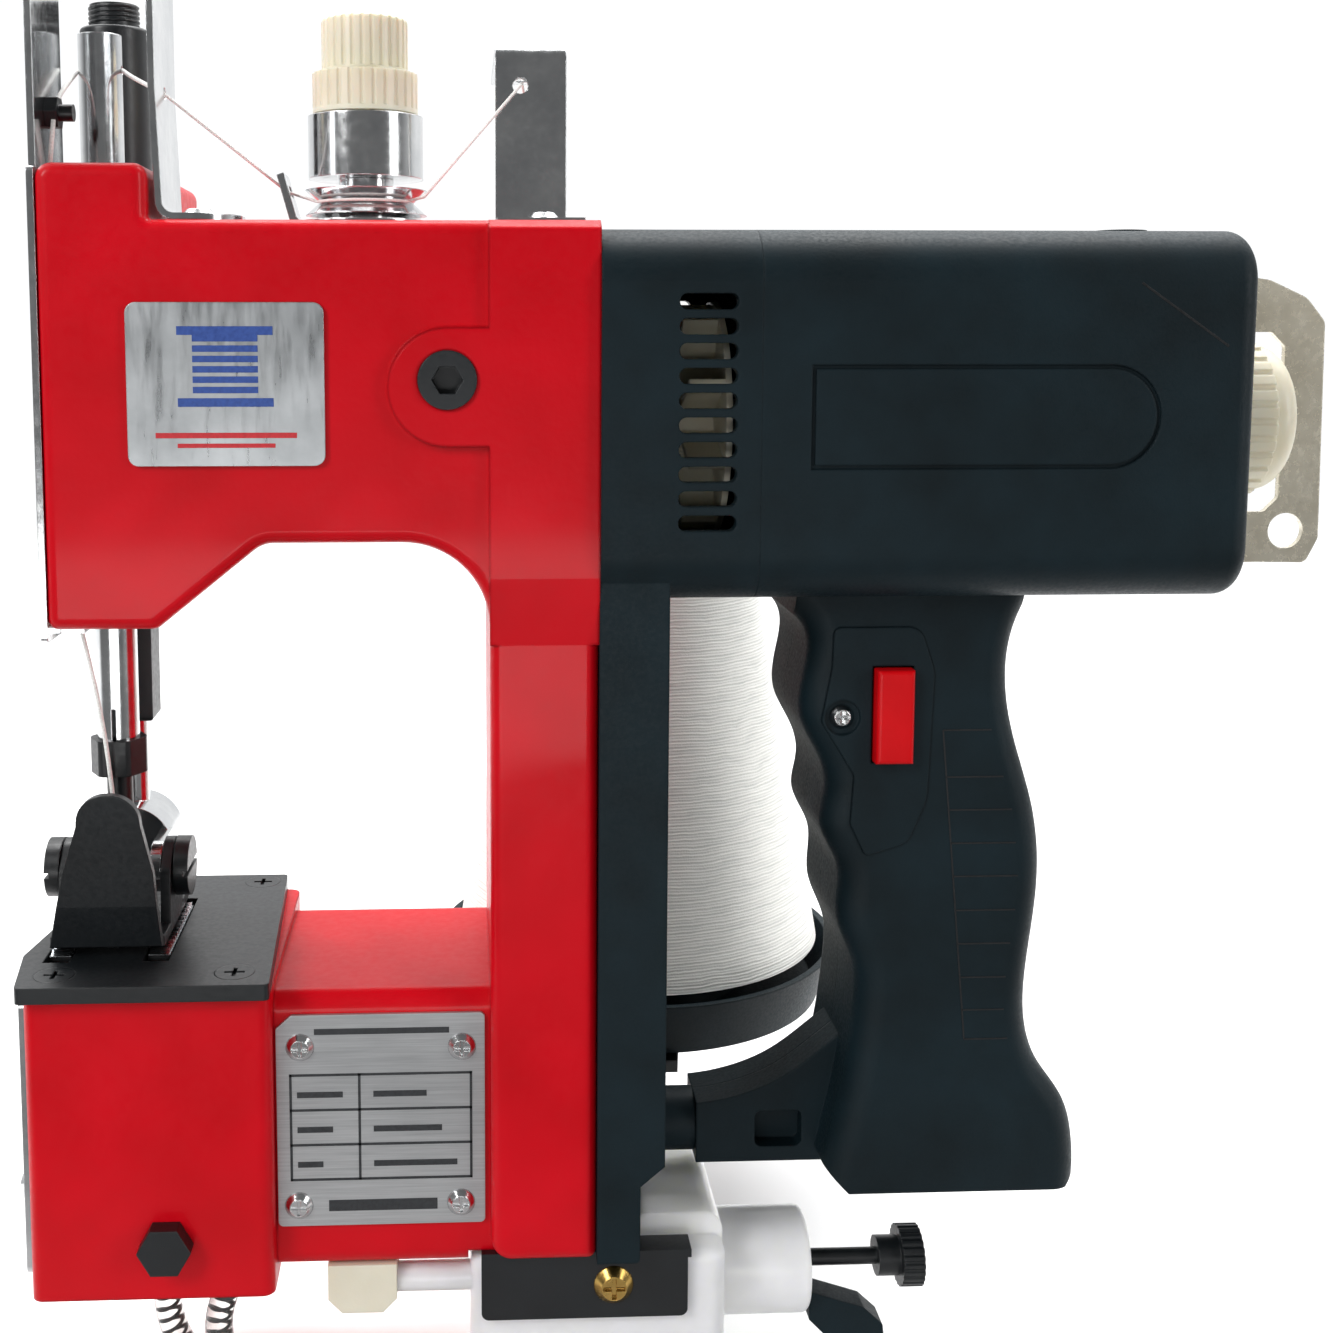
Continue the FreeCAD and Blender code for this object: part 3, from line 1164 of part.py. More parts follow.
def tank_bracket():
    """The folded steel plate that holds the tank under the column."""
    y0, y1 = tankFront - bracketThick, tankFront
    front = prism_y([(-22.8, 20.0, 1.5), (-22.8, columnBottom), (18.7, columnBottom), (18.7, 20.0, 1.5)], y0, y1)
    flange_part = block(-22.8, 19.4, y0, tankFront + 4.0, columnBottom - bracketThick, columnBottom)
    body = joined([front, flange_part])
    return body.cut(rod("y", tankScrew[0], y0 - 1, tankScrew[1], 2.0, 4))


tankScrew = (3.7, 27.0)


def tank_bracket_screw():
    return pan_screw("y", (tankScrew[0], tankFront - bracketThick, tankScrew[1]), -1, 4.0, 2.0, bracketThick + 3.4)


def oil_fitting():
    """The nylon fitting under the lower arm that takes the tank's outlet."""
    body = prism_y([(fittingLeft, lowerArmBottom), (fittingLeft, 23.6), (fittingLeft + 2.8, 20.7),
                    (fittingRight - 2.8, 20.7), (fittingRight, 23.6), (fittingRight, lowerArmBottom)], -24.0, -14.0)
    return body.cut(rod("x", fittingRight - 1.0, neckY, neckZ, neckRadius, 3))


def pump_spout():
    """The black outlet wedge at the end of the pump barrel, with its steel nozzle."""
    wedge = prism_y([(46.8, 15.0), (58.5, 11.2, 1), (62.6, 7.4, 1), (63.0, 3.0), (58.0, 2.0, 2), (50.0, 5.5, 2),
                     (46.8, 8.8)], -12.0, -6.0)
    tube = ring("z", 60.9, -9.0, -6.0, 1.6, 1.0, 11.0)
    return group([wedge.cut(rod("z", 60.9, -9.0, -7.0, 1.6, 12.0)), tube])


hoseRoutes = {
    "hose_left": [(-86.2, -10.0, boxBottom), (-88.6, -10.0, 20.0), (-87.8, -10.0, 10.95), (-83.75, -10.0, 2.8),
                  (-77.0, -10.0, -3.3), (-68.5, -10.3, -6.6), (-55.0, -10.9, -6.2), (-40.0, -10.5, -6.6),
                  (tankLeft, -10.5, -5.8)],
    "hose_right": [(-72.5, -19.0, boxBottom), (-76.1, -19.0, 20.8), (-76.4, -19.0, 11.8), (-73.2, -19.0, 3.4),
                   (-66.95, -19.0, -3.1), (-58.65, -18.8, -6.6), (-47.4, -18.4, -6.2), (-36.2, -18.6, -6.6),
                   (tankLeft, -18.6, -6.0)]}


def hose(name):
    """A tube of straight runs and tangent arcs along its route."""
    route = [Vector(*p) for p in hoseRoutes[name]]
    radii = []
    edges = []
    start = route[0]
    for i in range(1, len(route) - 1):
        back, ahead = route[i - 1] - route[i], route[i + 1] - route[i]
        turn = math.pi - back.getAngle(ahead)
        radius = 0.45 * min(back.Length, ahead.Length) / math.tan(turn / 2)
        reach = 0.45 * min(back.Length, ahead.Length)
        radii.append(round(radius, 1))
        a = route[i] + back.normalize() * reach
        b = route[i] + ahead.normalize() * reach
        bisector = (back + ahead).normalize()
        middle = route[i] + bisector * (radius / math.cos(turn / 2) - radius)
        edges.append(Part.LineSegment(start, a).toShape())
        edges.append(Part.Arc(a, middle, b).toShape())
        start = b
    edges.append(Part.LineSegment(start, route[-1]).toShape())
    path = Part.Wire(edges)
    heading = route[1] - route[0]
    section = Part.Wire(Part.Circle(route[0], heading, hoseRadius).toShape())
    tube = path.makePipeShell([section], True, True)
    ends = [block(-120, 0, -40, 40, boxBottom, boxBottom + 20), block(tankLeft, 20, -40, 40, -tankDrop, 40)]
    tube = tube.cut(group(ends))
    expected = math.pi * hoseRadius ** 2 * path.Length
    print(name, "length", round(path.Length, 1), "radii", radii, "volume ratio", round(tube.Volume / expected, 3))
    return tube


# ---- thread cone ----
rimHeight = 13.0
spindleTop = 176.0
coneBottom = 58.6


def spool_arm():
    """The steel arm from the back of the column to the middle of the tray."""
    back = halfDepth
    plate = block(columnLeft + 2.5, -2.5, back, back + 3.0, trayBottom - 4.0, trayBottom + 26.0)
    bar = prism_z([(columnLeft + 2.5, back, 0), (trayX + 4, back, 3), (trayX + 11, trayY - 8, 4),
                   (trayX + 9, trayY + 10, 8), (trayX - 9, trayY + 10, 8), (trayX - 11, trayY - 8, 4)],
                  trayBottom - 4.0, trayBottom - 1.0)
    bar = bar.cut(block(0, 60, 0, coverDepth + 1.5, 0, 80))
    body = joined([plate, bar])
    holes = [rod("z", trayX, trayY, trayBottom - 6, 2.5, 8)]
    for z in (trayBottom + 8, trayBottom + 19):
        holes.append(rod("y", -10.6, back - 1, z, 2.0, 6))
    return body.cut(group(holes))


def spool_tray():
    """The turned dish with a raised centre and the spindle that the cone stands on."""
    inner = trayRadius - 4.0
    dish = frustum("z", trayX, trayY, trayBottom, inner, trayRadius, rimHeight)
    dish = dish.cut(frustum("z", trayX, trayY, trayBottom + 2.4, inner - 2.0, trayRadius - 1.8, rimHeight - 2.3))
    mound = frustum("z", trayX, trayY, trayBottom, 30.0, 24.4, coneBottom - trayBottom)
    spindle = frustum("z", trayX, trayY, coneBottom - 1, 7.6, 5.0, spindleTop - coneBottom + 1)
    stud = rod("z", trayX, trayY, trayBottom - 9.0, 2.5, 10)
    collar = rod("z", trayX, trayY, trayBottom - 1.0, 9.0, 2)
    return joined([dish, mound, spindle, stud, collar])


def thread_cone():
    """The tapered core, and the thread wound on it as its own solid."""
    height = 104.0
    winding = frustum("z", trayX, trayY, coneBottom + 1.5, coneRadius, coneTopRadius, height - 4)
    core = frustum("z", trayX, trayY, coneBottom, 24.0, 9.6, height)
    hollow = frustum("z", trayX, trayY, coneBottom - 0.01, 22.6, 8.2, height + 0.02)
    return group([core.cut(hollow), winding.cut(frustum("z", trayX, trayY, coneBottom, 24.0, 9.6, height))])


# ---- sewing thread ----
threadRadius = 0.3


def taut(points):
    """A taut thread through its points: straight runs with a ball at every bend."""
    pieces = []
    for a, b in zip(points, points[1:]):
        a, b = Vector(*a), Vector(*b)
        pieces.append(Part.makeCylinder(threadRadius, (b - a).Length, a, b - a))
    for p in points[1:-1]:
        pieces.append(Part.makeSphere(threadRadius, Vector(*p)))
    return pieces[0].fuse(pieces[1:])


def sewing_thread():
    """The taut runs of the needle thread between the guides that stand still."""
    groove = discBottom + 0.8
    around = []
    for i in range(13):
        a = math.radians(-36 - 9.8 * i)
        around.append((tensionX + 10.6 * math.cos(a), tensionY + 10.6 * math.sin(a), groove))
    outside = (tensionX + 13.4 * math.cos(math.radians(-28)), tensionY + 13.4 * math.sin(math.radians(-28)), groove + 0.9)
    eyelet = (tensionX - 15.8, 0, armTop + 7.5)
    front = (frontHole[0], -4.1, frontHole[1])
    points = [(trayX - 9.6, trayY - 9.6, coneBottom + 102.0), (backHole[0], backHole[1], bracketTop - 1.65), front, outside]
    points += around + [eyelet, (guardRight - 0.2, takeupY, eyeletZ)]
    return taut(points)


nodes = {
    "frame_casting": frame_casting, "rocker_pivot_pin": rocker_pivot_pin, "looper_box_pins": looper_box_pins,
    "looper_cover": looper_cover, "throat_plate": throat_plate, "throat_plate_screws": throat_plate_screws,
    "nameplate": nameplate, "nameplate_screws": nameplate_screws, "badge_plate": badge_plate,
    "needle_bar_guard": needle_bar_guard, "dark_screws": dark_screws,
    "needle_bar_bushes": needle_bar_bushes, "presser_bar_bushes": presser_bar_bushes,
    "presser_spring": presser_spring, "tension_base": tension_base, "tension_discs": tension_discs,
    "tension_stud_and_spring": tension_stud_and_spring, "thread_bracket": thread_bracket,
    "nickel_screws": nickel_screws, "column_cover": column_cover, "motor_housing": motor_housing,
    "handle_front": lambda: handle_half(-1), "handle_rear": lambda: handle_half(1),
    "switch_panel": switch_panel, "switch_body": switch_body, "motor_stator": motor_stator,
    "motor_bearings": motor_bearings, "brush_gear": brush_gear, "brush_caps": brush_caps,
    "drive_belt": drive_belt, "shaft_bushes": shaft_bushes, "hanging_plate": hanging_plate,
    "oil_tank": oil_tank, "tank_bracket": tank_bracket, "tank_bracket_screw": tank_bracket_screw,
    "pump_spout": pump_spout, "oil_fitting": oil_fitting, "hose_left": lambda: hose("hose_left"),
    "hose_right": lambda: hose("hose_right"), "spool_arm": spool_arm,
    "spool_tray": spool_tray, "thread_cone": thread_cone,
    "sewing_thread": sewing_thread, "motor_armature": motor_armature, "cooling_fan": cooling_fan,
    "handwheel": handwheel, "main_shaft": main_shaft, "large_pulley": large_pulley, "rocker_arm": rocker_arm,
    "needle_bar": needle_bar, "needle_and_clamp": needle_and_clamp, "connecting_rod": connecting_rod,
    "looper": looper, "feed_dog": feed_dog, "presser_bar": presser_bar, "presser_foot_pins": presser_foot_pins,
    "presser_foot": presser_foot, "tension_knob": tension_knob, "oil_plunger": oil_plunger,
    "switch_button": switch_button}

for name, make in nodes.items():
    save(name, make())
print(len(nodes), "nodes")
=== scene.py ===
import json
import math

import bmesh
import bpy
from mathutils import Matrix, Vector


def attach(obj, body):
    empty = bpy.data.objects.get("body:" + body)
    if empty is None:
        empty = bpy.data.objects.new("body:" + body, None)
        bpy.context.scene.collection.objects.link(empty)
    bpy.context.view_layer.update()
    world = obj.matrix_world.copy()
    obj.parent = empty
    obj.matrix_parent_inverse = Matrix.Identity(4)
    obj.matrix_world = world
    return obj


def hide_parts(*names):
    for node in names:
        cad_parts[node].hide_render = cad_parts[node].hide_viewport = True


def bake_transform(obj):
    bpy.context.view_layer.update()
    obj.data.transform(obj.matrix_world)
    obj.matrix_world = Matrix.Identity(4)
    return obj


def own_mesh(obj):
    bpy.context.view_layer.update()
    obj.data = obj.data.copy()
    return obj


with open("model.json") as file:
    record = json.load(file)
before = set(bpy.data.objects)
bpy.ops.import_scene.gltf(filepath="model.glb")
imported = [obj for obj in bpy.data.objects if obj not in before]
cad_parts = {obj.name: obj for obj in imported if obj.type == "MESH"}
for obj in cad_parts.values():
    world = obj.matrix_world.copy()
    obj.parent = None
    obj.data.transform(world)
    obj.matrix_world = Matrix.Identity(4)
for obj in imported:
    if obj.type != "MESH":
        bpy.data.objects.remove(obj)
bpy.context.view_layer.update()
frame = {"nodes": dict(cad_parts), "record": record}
nodes = frame["nodes"]

# All lengths are metres, in the part's own frame, with the tank's foot at Z 0.


def linear(code):
    # a colour from its sRGB hex code
    values = []
    for i in (1, 3, 5):
        v = int(code[i:i + 2], 16) / 255
        values.append(v / 12.92 if v <= 0.04045 else ((v + 0.055) / 1.055) ** 2.4)
    return (*values, 1.0)


def addNode(tree, kind, inputs=None, **settings):
    node = tree.nodes.new(kind)
    for name, value in settings.items():
        setattr(node, name, value)
    for name, value in (inputs or {}).items():
        socket = node.inputs[name]
        if isinstance(value, bpy.types.NodeSocket):
            tree.links.new(value, socket)
        else:
            socket.default_value = value
    return node


def startMaterial(name):
    material = bpy.data.materials.new(name)
    material.use_nodes = True
    tree = material.node_tree
    tree.nodes.clear()
    place = addNode(tree, "ShaderNodeTexCoord").outputs["Object"]
    # Object coordinates in millimetres
    place = addNode(tree, "ShaderNodeMapping", {"Vector": place, "Scale": (1000, 1000, 1000)}).outputs["Vector"]
    return material, tree, place


def finishMaterial(tree, shader):
    output = addNode(tree, "ShaderNodeOutputMaterial")
    tree.links.new(shader, output.inputs["Surface"])


def noise(tree, place, scale, detail=3.0, roughness=0.55, stretch=None):
    if stretch:
        place = addNode(tree, "ShaderNodeMapping", {"Vector": place, "Scale": stretch}).outputs["Vector"]
    found = addNode(tree, "ShaderNodeTexNoise",
                    {"Vector": place, "Scale": scale, "Detail": detail, "Roughness": roughness})
    return found.outputs["Fac"]


def spread(tree, value, low, high, start=0.3, end=0.7):
    found = addNode(tree, "ShaderNodeMapRange", {"Value": value, "From Min": start, "From Max": end,
                                                 "To Min": low, "To Max": high})
    return found.outputs["Result"]


def blended(tree, factor, first, second):
    ramp = addNode(tree, "ShaderNodeValToRGB", {"Fac": factor})
    ramp.color_ramp.elements[0].color = first
    ramp.color_ramp.elements[1].color = second
    ramp.color_ramp.elements[0].position = 0.3
    ramp.color_ramp.elements[1].position = 0.7
    return ramp.outputs["Color"]


def bumped(tree, height, strength, distance, edge):
    # bump in metres over softened edges
    soft = addNode(tree, "ShaderNodeBevel", {"Radius": edge}, samples=4).outputs["Normal"]
    bump = addNode(tree, "ShaderNodeBump",
                   {"Height": height, "Strength": strength, "Distance": distance, "Normal": soft})
    return bump.outputs["Normal"]


def edgeShade(tree, amount, edge):
    # 1 along every edge and crease where the softened normal turns away, 0 elsewhere: the mask for painted shade
    geometry = addNode(tree, "ShaderNodeNewGeometry").outputs["Normal"]
    soft = addNode(tree, "ShaderNodeBevel", {"Radius": edge}, samples=4).outputs["Normal"]
    dot = addNode(tree, "ShaderNodeVectorMath", {0: geometry, 1: soft}, operation="DOT_PRODUCT").outputs["Value"]
    return addNode(tree, "ShaderNodeMapRange", {"Value": dot, "From Min": 0.995, "From Max": 0.86,
                                                "To Min": 0.0, "To Max": amount}).outputs["Result"]


def metal(name, dark, light, roughness, grain=None, edge=0.0003, bump=0.00002, grainScale=0.6, metallic=1.0):
    # bare or plated metal with fine smudges and, where it has one, a directional grain
    material, tree, place = startMaterial(name)
    smudge = noise(tree, place, 0.09, 4.0, 0.6)
    fine = noise(tree, place, grainScale, 3.0, 0.6, grain)
    colour = blended(tree, smudge, linear(dark), linear(light))
    rough = spread(tree, fine, roughness * 0.75, roughness * 1.35)
    shader = addNode(tree, "ShaderNodeBsdfPrincipled", {
        "Base Color": colour, "Metallic": metallic, "Roughness": rough,
        "Normal": bumped(tree, fine, 0.35, bump, edge)})
    finishMaterial(tree, shader.outputs["BSDF"])
    return material


def moulded(name, dark, light, roughness, texture=1.6, depth=0.00006, edge=0.0006, spec=0.5, soft=0.0, coat=0.0):
    # moulded plastic with an eroded fine texture
    material, tree, place = startMaterial(name)
    cloud = noise(tree, place, 0.045, 3.0)
    grainy = noise(tree, place, texture, 2.0, 0.5)
    colour = blended(tree, cloud, linear(dark), linear(light))
    rough = spread(tree, grainy, roughness * 0.85, roughness * 1.2)
    shader = addNode(tree, "ShaderNodeBsdfPrincipled", {
        "Base Color": colour, "Roughness": rough, "Specular IOR Level": spec, "Coat Weight": coat,
        "Coat Roughness": 0.2, "Normal": bumped(tree, grainy, 0.4, depth, edge)})
    if soft:
        shader.inputs["Subsurface Weight"].default_value = soft
        shader.inputs["Subsurface Radius"].default_value = (0.004, 0.003, 0.002)
        shader.inputs["Subsurface Scale"].default_value = 1.0
    finishMaterial(tree, shader.outputs["BSDF"])
    return material


def redEnamel():
    # stoved gloss enamel over a cast surface: long waves, orange peel, and painted shade darkening its edges and
    # creases
    material, tree, place = startMaterial("stoved_red_enamel")
    wave = noise(tree, place, 0.035, 2.0)
    peel = noise(tree, place, 0.55, 2.0, 0.5)
    colour = blended(tree, wave, linear("#b6000e"), linear("#ca0217"))
    # painted shade: a dark red laid along every edge and crease
    shadedEdges = edgeShade(tree, 0.55, 0.0006)
    colour = addNode(tree, "ShaderNodeMix", {"Factor": shadedEdges, "A": colour, "B": linear("#5e0008")}, data_type="RGBA")
    height = addNode(tree, "ShaderNodeMath", {0: wave, 1: peel}, operation="ADD").outputs["Value"]
    shader = addNode(tree, "ShaderNodeBsdfPrincipled", {
        "Base Color": colour.outputs[2], "Roughness": spread(tree, peel, 0.34, 0.46), "Specular IOR Level": 0.12,
        "Coat Weight": 0.16, "Coat Roughness": spread(tree, wave, 0.05, 0.12),
        "Normal": bumped(tree, height, 0.5, 0.00009, 0.0011)})
    finishMaterial(tree, shader.outputs["BSDF"])
    return material


def brushedPlate(name, direction, dark="#a9abad", light="#c3c5c6"):
    material, tree, place = startMaterial(name)
    lines = noise(tree, place, 1.0, 4.0, 0.7, direction)
    cloud = noise(tree, place, 0.06, 2.0)
    colour = blended(tree, lines, linear(dark), linear(light))
    shader = addNode(tree, "ShaderNodeBsdfPrincipled", {
        "Base Color": colour, "Metallic": 0.65, "Roughness": spread(tree, cloud, 0.30, 0.42),
        "Anisotropic": 0.6, "Normal": bumped(tree, lines, 0.4, 0.00003, 0.0002)})
    finishMaterial(tree, shader.outputs["BSDF"])
    return material


def cloudyPlastic(name, tint, through, rough, body):
    # natural polyethylene: milky, light passes through it
    material, tree, place = startMaterial(name)
    cloud = noise(tree, place, 0.08, 3.0)
    fine = noise(tree, place, 1.2, 2.0)
    colour = blended(tree, cloud, linear(tint), linear("#fdfdf9"))
    shader = addNode(tree, "ShaderNodeBsdfPrincipled", {
        "Base Color": colour, "Roughness": spread(tree, fine, rough * 0.9, rough * 1.1), "IOR": 1.45,
        "Transmission Weight": through, "Subsurface Weight": body, "Subsurface Scale": 1.0,
        "Subsurface Radius": (0.006, 0.006, 0.005), "Coat Weight": 0.25, "Coat Roughness": 0.15,
        "Normal": bumped(tree, cloud, 0.25, 0.0001, 0.0010)})
    finishMaterial(tree, shader.outputs["BSDF"])
    return material


def clearTube():
    material, tree, place = startMaterial("clear_pvc_tube")
    fine = noise(tree, place, 0.5, 2.0)
    shader = addNode(tree, "ShaderNodeBsdfPrincipled", {
        "Base Color": linear("#eef1ee"), "Roughness": spread(tree, fine, 0.06, 0.16), "IOR": 1.35,
        "Transmission Weight": 0.93, "Normal": bumped(tree, fine, 0.2, 0.00005, 0.0002)})
    finishMaterial(tree, shader.outputs["BSDF"])
    return material


def woundThread():
    # cotton wound in close rings with slow crossing turns, and its fuzz
    material, tree, place = startMaterial("wound_cotton_thread")
    offset = addNode(tree, "ShaderNodeMapping", {"Vector": place, "Location": (-20, -84, 0)}).outputs["Vector"]
    split = addNode(tree, "ShaderNodeSeparateXYZ", {"Vector": offset})
    turn = addNode(tree, "ShaderNodeMath", {0: split.outputs["Y"], 1: split.outputs["X"]}, operation="ARCTAN2")
    drift = noise(tree, place, 0.10, 3.0)
    heights = []
    # (turns of the wave per millimetre of height, slope round the cone, weight)
    for pitch, slope, weight in ((8.6, 1.0, 0.5), (5.1, -3.0, 0.45), (1.25, 9.0, 0.4), (0.8, -14.0, 0.35)):
        climb = addNode(tree, "ShaderNodeMath", {0: split.outputs["Z"], 1: pitch}, operation="MULTIPLY")
        round_ = addNode(tree, "ShaderNodeMath", {0: turn.outputs["Value"], 1: slope}, operation="MULTIPLY")
        wander = addNode(tree, "ShaderNodeMath", {0: drift, 1: 9.0}, operation="MULTIPLY")
        total = addNode(tree, "ShaderNodeMath", {0: climb.outputs[0], 1: round_.outputs[0]}, operation="ADD")
        total = addNode(tree, "ShaderNodeMath", {0: total.outputs[0], 1: wander.outputs[0]}, operation="ADD")
        sine = addNode(tree, "ShaderNodeMath", {0: total.outputs[0]}, operation="SINE")
        scaled = addNode(tree, "ShaderNodeMath", {0: sine.outputs[0], 1: weight}, operation="MULTIPLY")
        heights.append(scaled.outputs[0])
    total = heights[0]
    for height in heights[1:]:
        total = addNode(tree, "ShaderNodeMath", {0: total, 1: height}, operation="ADD").outputs[0]
    fuzz = noise(tree, place, 2.4, 3.0, 0.7)
    total = addNode(tree, "ShaderNodeMath", {0: total, 1: fuzz}, operation="ADD").outputs[0]
    shade = addNode(tree, "ShaderNodeMapRange", {"Value": total, "From Min": -1.6, "From Max": 1.6}).outputs["Result"]
    ramp = addNode(tree, "ShaderNodeValToRGB", {"Fac": shade})
    ramp.color_ramp.elements[0].color = linear("#e3e4df")
    ramp.color_ramp.elements[1].color = linear("#fdfcf6")
    ramp.color_ramp.elements[0].position = 0.0
    ramp.color_ramp.elements[1].position = 0.62
    bump = addNode(tree, "ShaderNodeBump", {"Height": total, "Strength": 0.4, "Distance": 0.00018})
    shader = addNode(tree, "ShaderNodeBsdfPrincipled", {
        "Base Color": ramp.outputs["Color"], "Roughness": 0.85, "Sheen Weight": 0.4, "Sheen Roughness": 0.5,
        "Normal": bump.outputs["Normal"]})
    finishMaterial(tree, shader.outputs["BSDF"])
    return material


def twistedThread():
    material, tree, place = startMaterial("twisted_cotton_thread")
    twist = noise(tree, place, 3.0, 2.0)
    colour = blended(tree, twist, linear("#dcdcd8"), linear("#fbfbf8"))
    bump = addNode(tree, "ShaderNodeBump", {"Height": twist, "Strength": 0.5, "Distance": 0.0001})
    shader = addNode(tree, "ShaderNodeBsdfPrincipled", {
        "Base Color": colour, "Roughness": 0.8, "Sheen Weight": 0.3, "Normal": bump.outputs["Normal"]})
    finishMaterial(tree, shader.outputs["BSDF"])
    return material


def printedFilm(name, dark, light):
    # ink or printed film on a plate
    material, tree, place = startMaterial(name)
    grain = noise(tree, place, 1.4, 2.0)
    shader = addNode(tree, "ShaderNodeBsdfPrincipled", {
        "Base Color": blended(tree, grain, linear(dark), linear(light)), "Roughness": spread(tree, grain, 0.35, 0.5),
        "Normal": bumped(tree, grain, 0.2, 0.00002, 0.0001)})
    finishMaterial(tree, shader.outputs["BSDF"])
    return material


def floorMaterial():
    material, tree, place = startMaterial("pale_matt_floor")
    cloud = noise(tree, place, 0.004, 2.0)
    # dark before the object, so that its painted front doesn't mirror a white floor
    depth = addNode(tree, "ShaderNodeSeparateXYZ", {"Vector": place}).outputs["Y"]
    shade = spread(tree, depth, 0.0, 1.0, -160.0, 20.0)
    colour = addNode(tree, "ShaderNodeMix", {
        "Factor": shade, "A": linear("#5c5c5c"), "B": blended(tree, cloud, linear("#f1f1f1"), linear("#f5f5f5"))},
        data_type="RGBA").outputs[2]
    shader = addNode(tree, "ShaderNodeBsdfPrincipled", {
        "Base Color": colour, "Roughness": 0.9, "Specular IOR Level": 0.1})
    finishMaterial(tree, shader.outputs["BSDF"])
    return material


def laminations(name, dark, light):
    # stacked sheet steel, its edges along X
    material, tree, place = startMaterial(name)
    split = addNode(tree, "ShaderNodeSeparateXYZ", {"Vector": place})
    wave = addNode(tree, "ShaderNodeMath", {0: split.outputs["X"], 1: 9.0}, operation="MULTIPLY")
    wave = addNode(tree, "ShaderNodeMath", {0: wave.outputs[0]}, operation="SINE").outputs[0]
    cloud = noise(tree, place, 0.3, 3.0)
    shader = addNode(tree, "ShaderNodeBsdfPrincipled", {
        "Base Color": blended(tree, cloud, linear(dark), linear(light)), "Metallic": 0.9,
        "Roughness": spread(tree, cloud, 0.4, 0.6), "Normal": bumped(tree, wave, 0.4, 0.00008, 0.0002)})
    finishMaterial(tree, shader.outputs["BSDF"])
    return material


def rubber():
    material, tree, place = startMaterial("moulded_black_rubber")
    grain = noise(tree, place, 1.2, 2.0)
    shader = addNode(tree, "ShaderNodeBsdfPrincipled", {
        "Base Color": blended(tree, grain, linear("#161616"), linear("#202020")),
        "Roughness": spread(tree, grain, 0.6, 0.8), "Normal": bumped(tree, grain, 0.4, 0.00005, 0.0003)})
    finishMaterial(tree, shader.outputs["BSDF"])
    return material


looks = {
    "red_enamel": redEnamel(),
    "nickel_steel": metal("polished_nickel_plate", "#c2c4c6", "#dfe0e0", 0.15, edge=0.00035),
    "brushed_plate": brushedPlate("brushed_aluminium_plate", (0.05, 1.0, 3.0)),
    "ground_steel": metal("ground_steel", "#8f9397", "#b3b6b8", 0.26, grain=(0.2, 1.0, 2.5)),
    "black_steel": moulded("blackened_steel", "#0b0e10", "#14181b", 0.36, texture=1.1, depth=0.00003, edge=0.0004,
                           spec=0.45),
    "black_nylon": moulded("textured_black_nylon", "#0b161a", "#122127", 0.5, spec=0.16),
    "ivory_nylon": moulded("ivory_nylon", "#d9d2ba", "#e9e3cf", 0.38, texture=0.9, soft=0.3, edge=0.0004),
    "red_button": moulded("red_abs_button", "#bd030b", "#d20812", 0.34, texture=1.0, edge=0.0006, spec=0.15, coat=0.08),
    "clear_hose": clearTube(),
    "tank_plastic": cloudyPlastic("natural_polyethylene", "#f3f3ee", 0.04, 0.32, 0.75),
    "cotton_thread": woundThread(),
    "brass": metal("turned_brass", "#a98743", "#c9a863", 0.22, edge=0.0003),
    "belt_rubber": rubber(),
    "copper_coil": metal("enamelled_copper", "#8c4f2a", "#a9683c", 0.3),
    "laminated_iron": laminations("laminated_iron", "#4c4e50", "#65686a"),
    "bronze": metal("sintered_bronze", "#8d6c3c", "#a8854f", 0.4),
    "satin_alloy": metal("satin_aluminium", "#a3a6a8", "#bcbfc1", 0.34, grain=(1.0, 1.0, 0.15))}
threadLook = twistedThread()
seamLook = printedFilm("shadowed_seam", "#07090b", "#0b0e11")
inkLook = printedFilm("black_etched_ink", "#1d1f22", "#2a2d30")
ivoryFitting = moulded("natural_nylon_fitting", "#cfc9b6", "#dfdac8", 0.4, texture=0.9, soft=0.25, edge=0.0004)
sheetLook = metal("zinc_plated_sheet", "#cdc5b2", "#e2dccb", 0.24, metallic=0.5)
springLook = metal("black_spring_wire", "#101214", "#1c1f22", 0.4)

slots = {piece["node"]: piece["material_slot"] for piece in frame["record"]["subparts"]}
lookOf = {"oil_fitting": ivoryFitting, "hanging_plate": sheetLook, "sewing_thread": threadLook}
for name, node in nodes.items():
    node.data.materials.clear()
    node.data.materials.append(lookOf.get(name) or looks[slots[name]])
print("materials", len(looks))


# helpers for pieces
def addMesh(name, build, material, body="root"):
    mesh = bpy.data.meshes.new(name)
    shape = bmesh.new()
    build(shape)
    bmesh.ops.recalc_face_normals(shape, faces=shape.faces)
    shape.to_mesh(mesh)
    shape.free()
    piece = bpy.data.objects.new(name, mesh)
    bpy.context.scene.collection.objects.link(piece)
    mesh.materials.append(material)
    if body:
        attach(piece, body)
    return piece


def addBox(shape, low, high, bevel=0.0, segments=2):
    # a box between two corners, its edges rounded
    low, high = Vector(low), Vector(high)
    made = bmesh.ops.create_cube(shape, size=1.0)
    for vert in made["verts"]:
        vert.co = Vector([low[i] + (vert.co[i] + 0.5) * (high[i] - low[i]) for i in range(3)])
    if bevel:
        edges = list({edge for vert in made["verts"] for edge in vert.link_edges})
        bmesh.ops.bevel(shape, geom=edges, offset=bevel, segments=segments, profile=0.5, affect="EDGES")


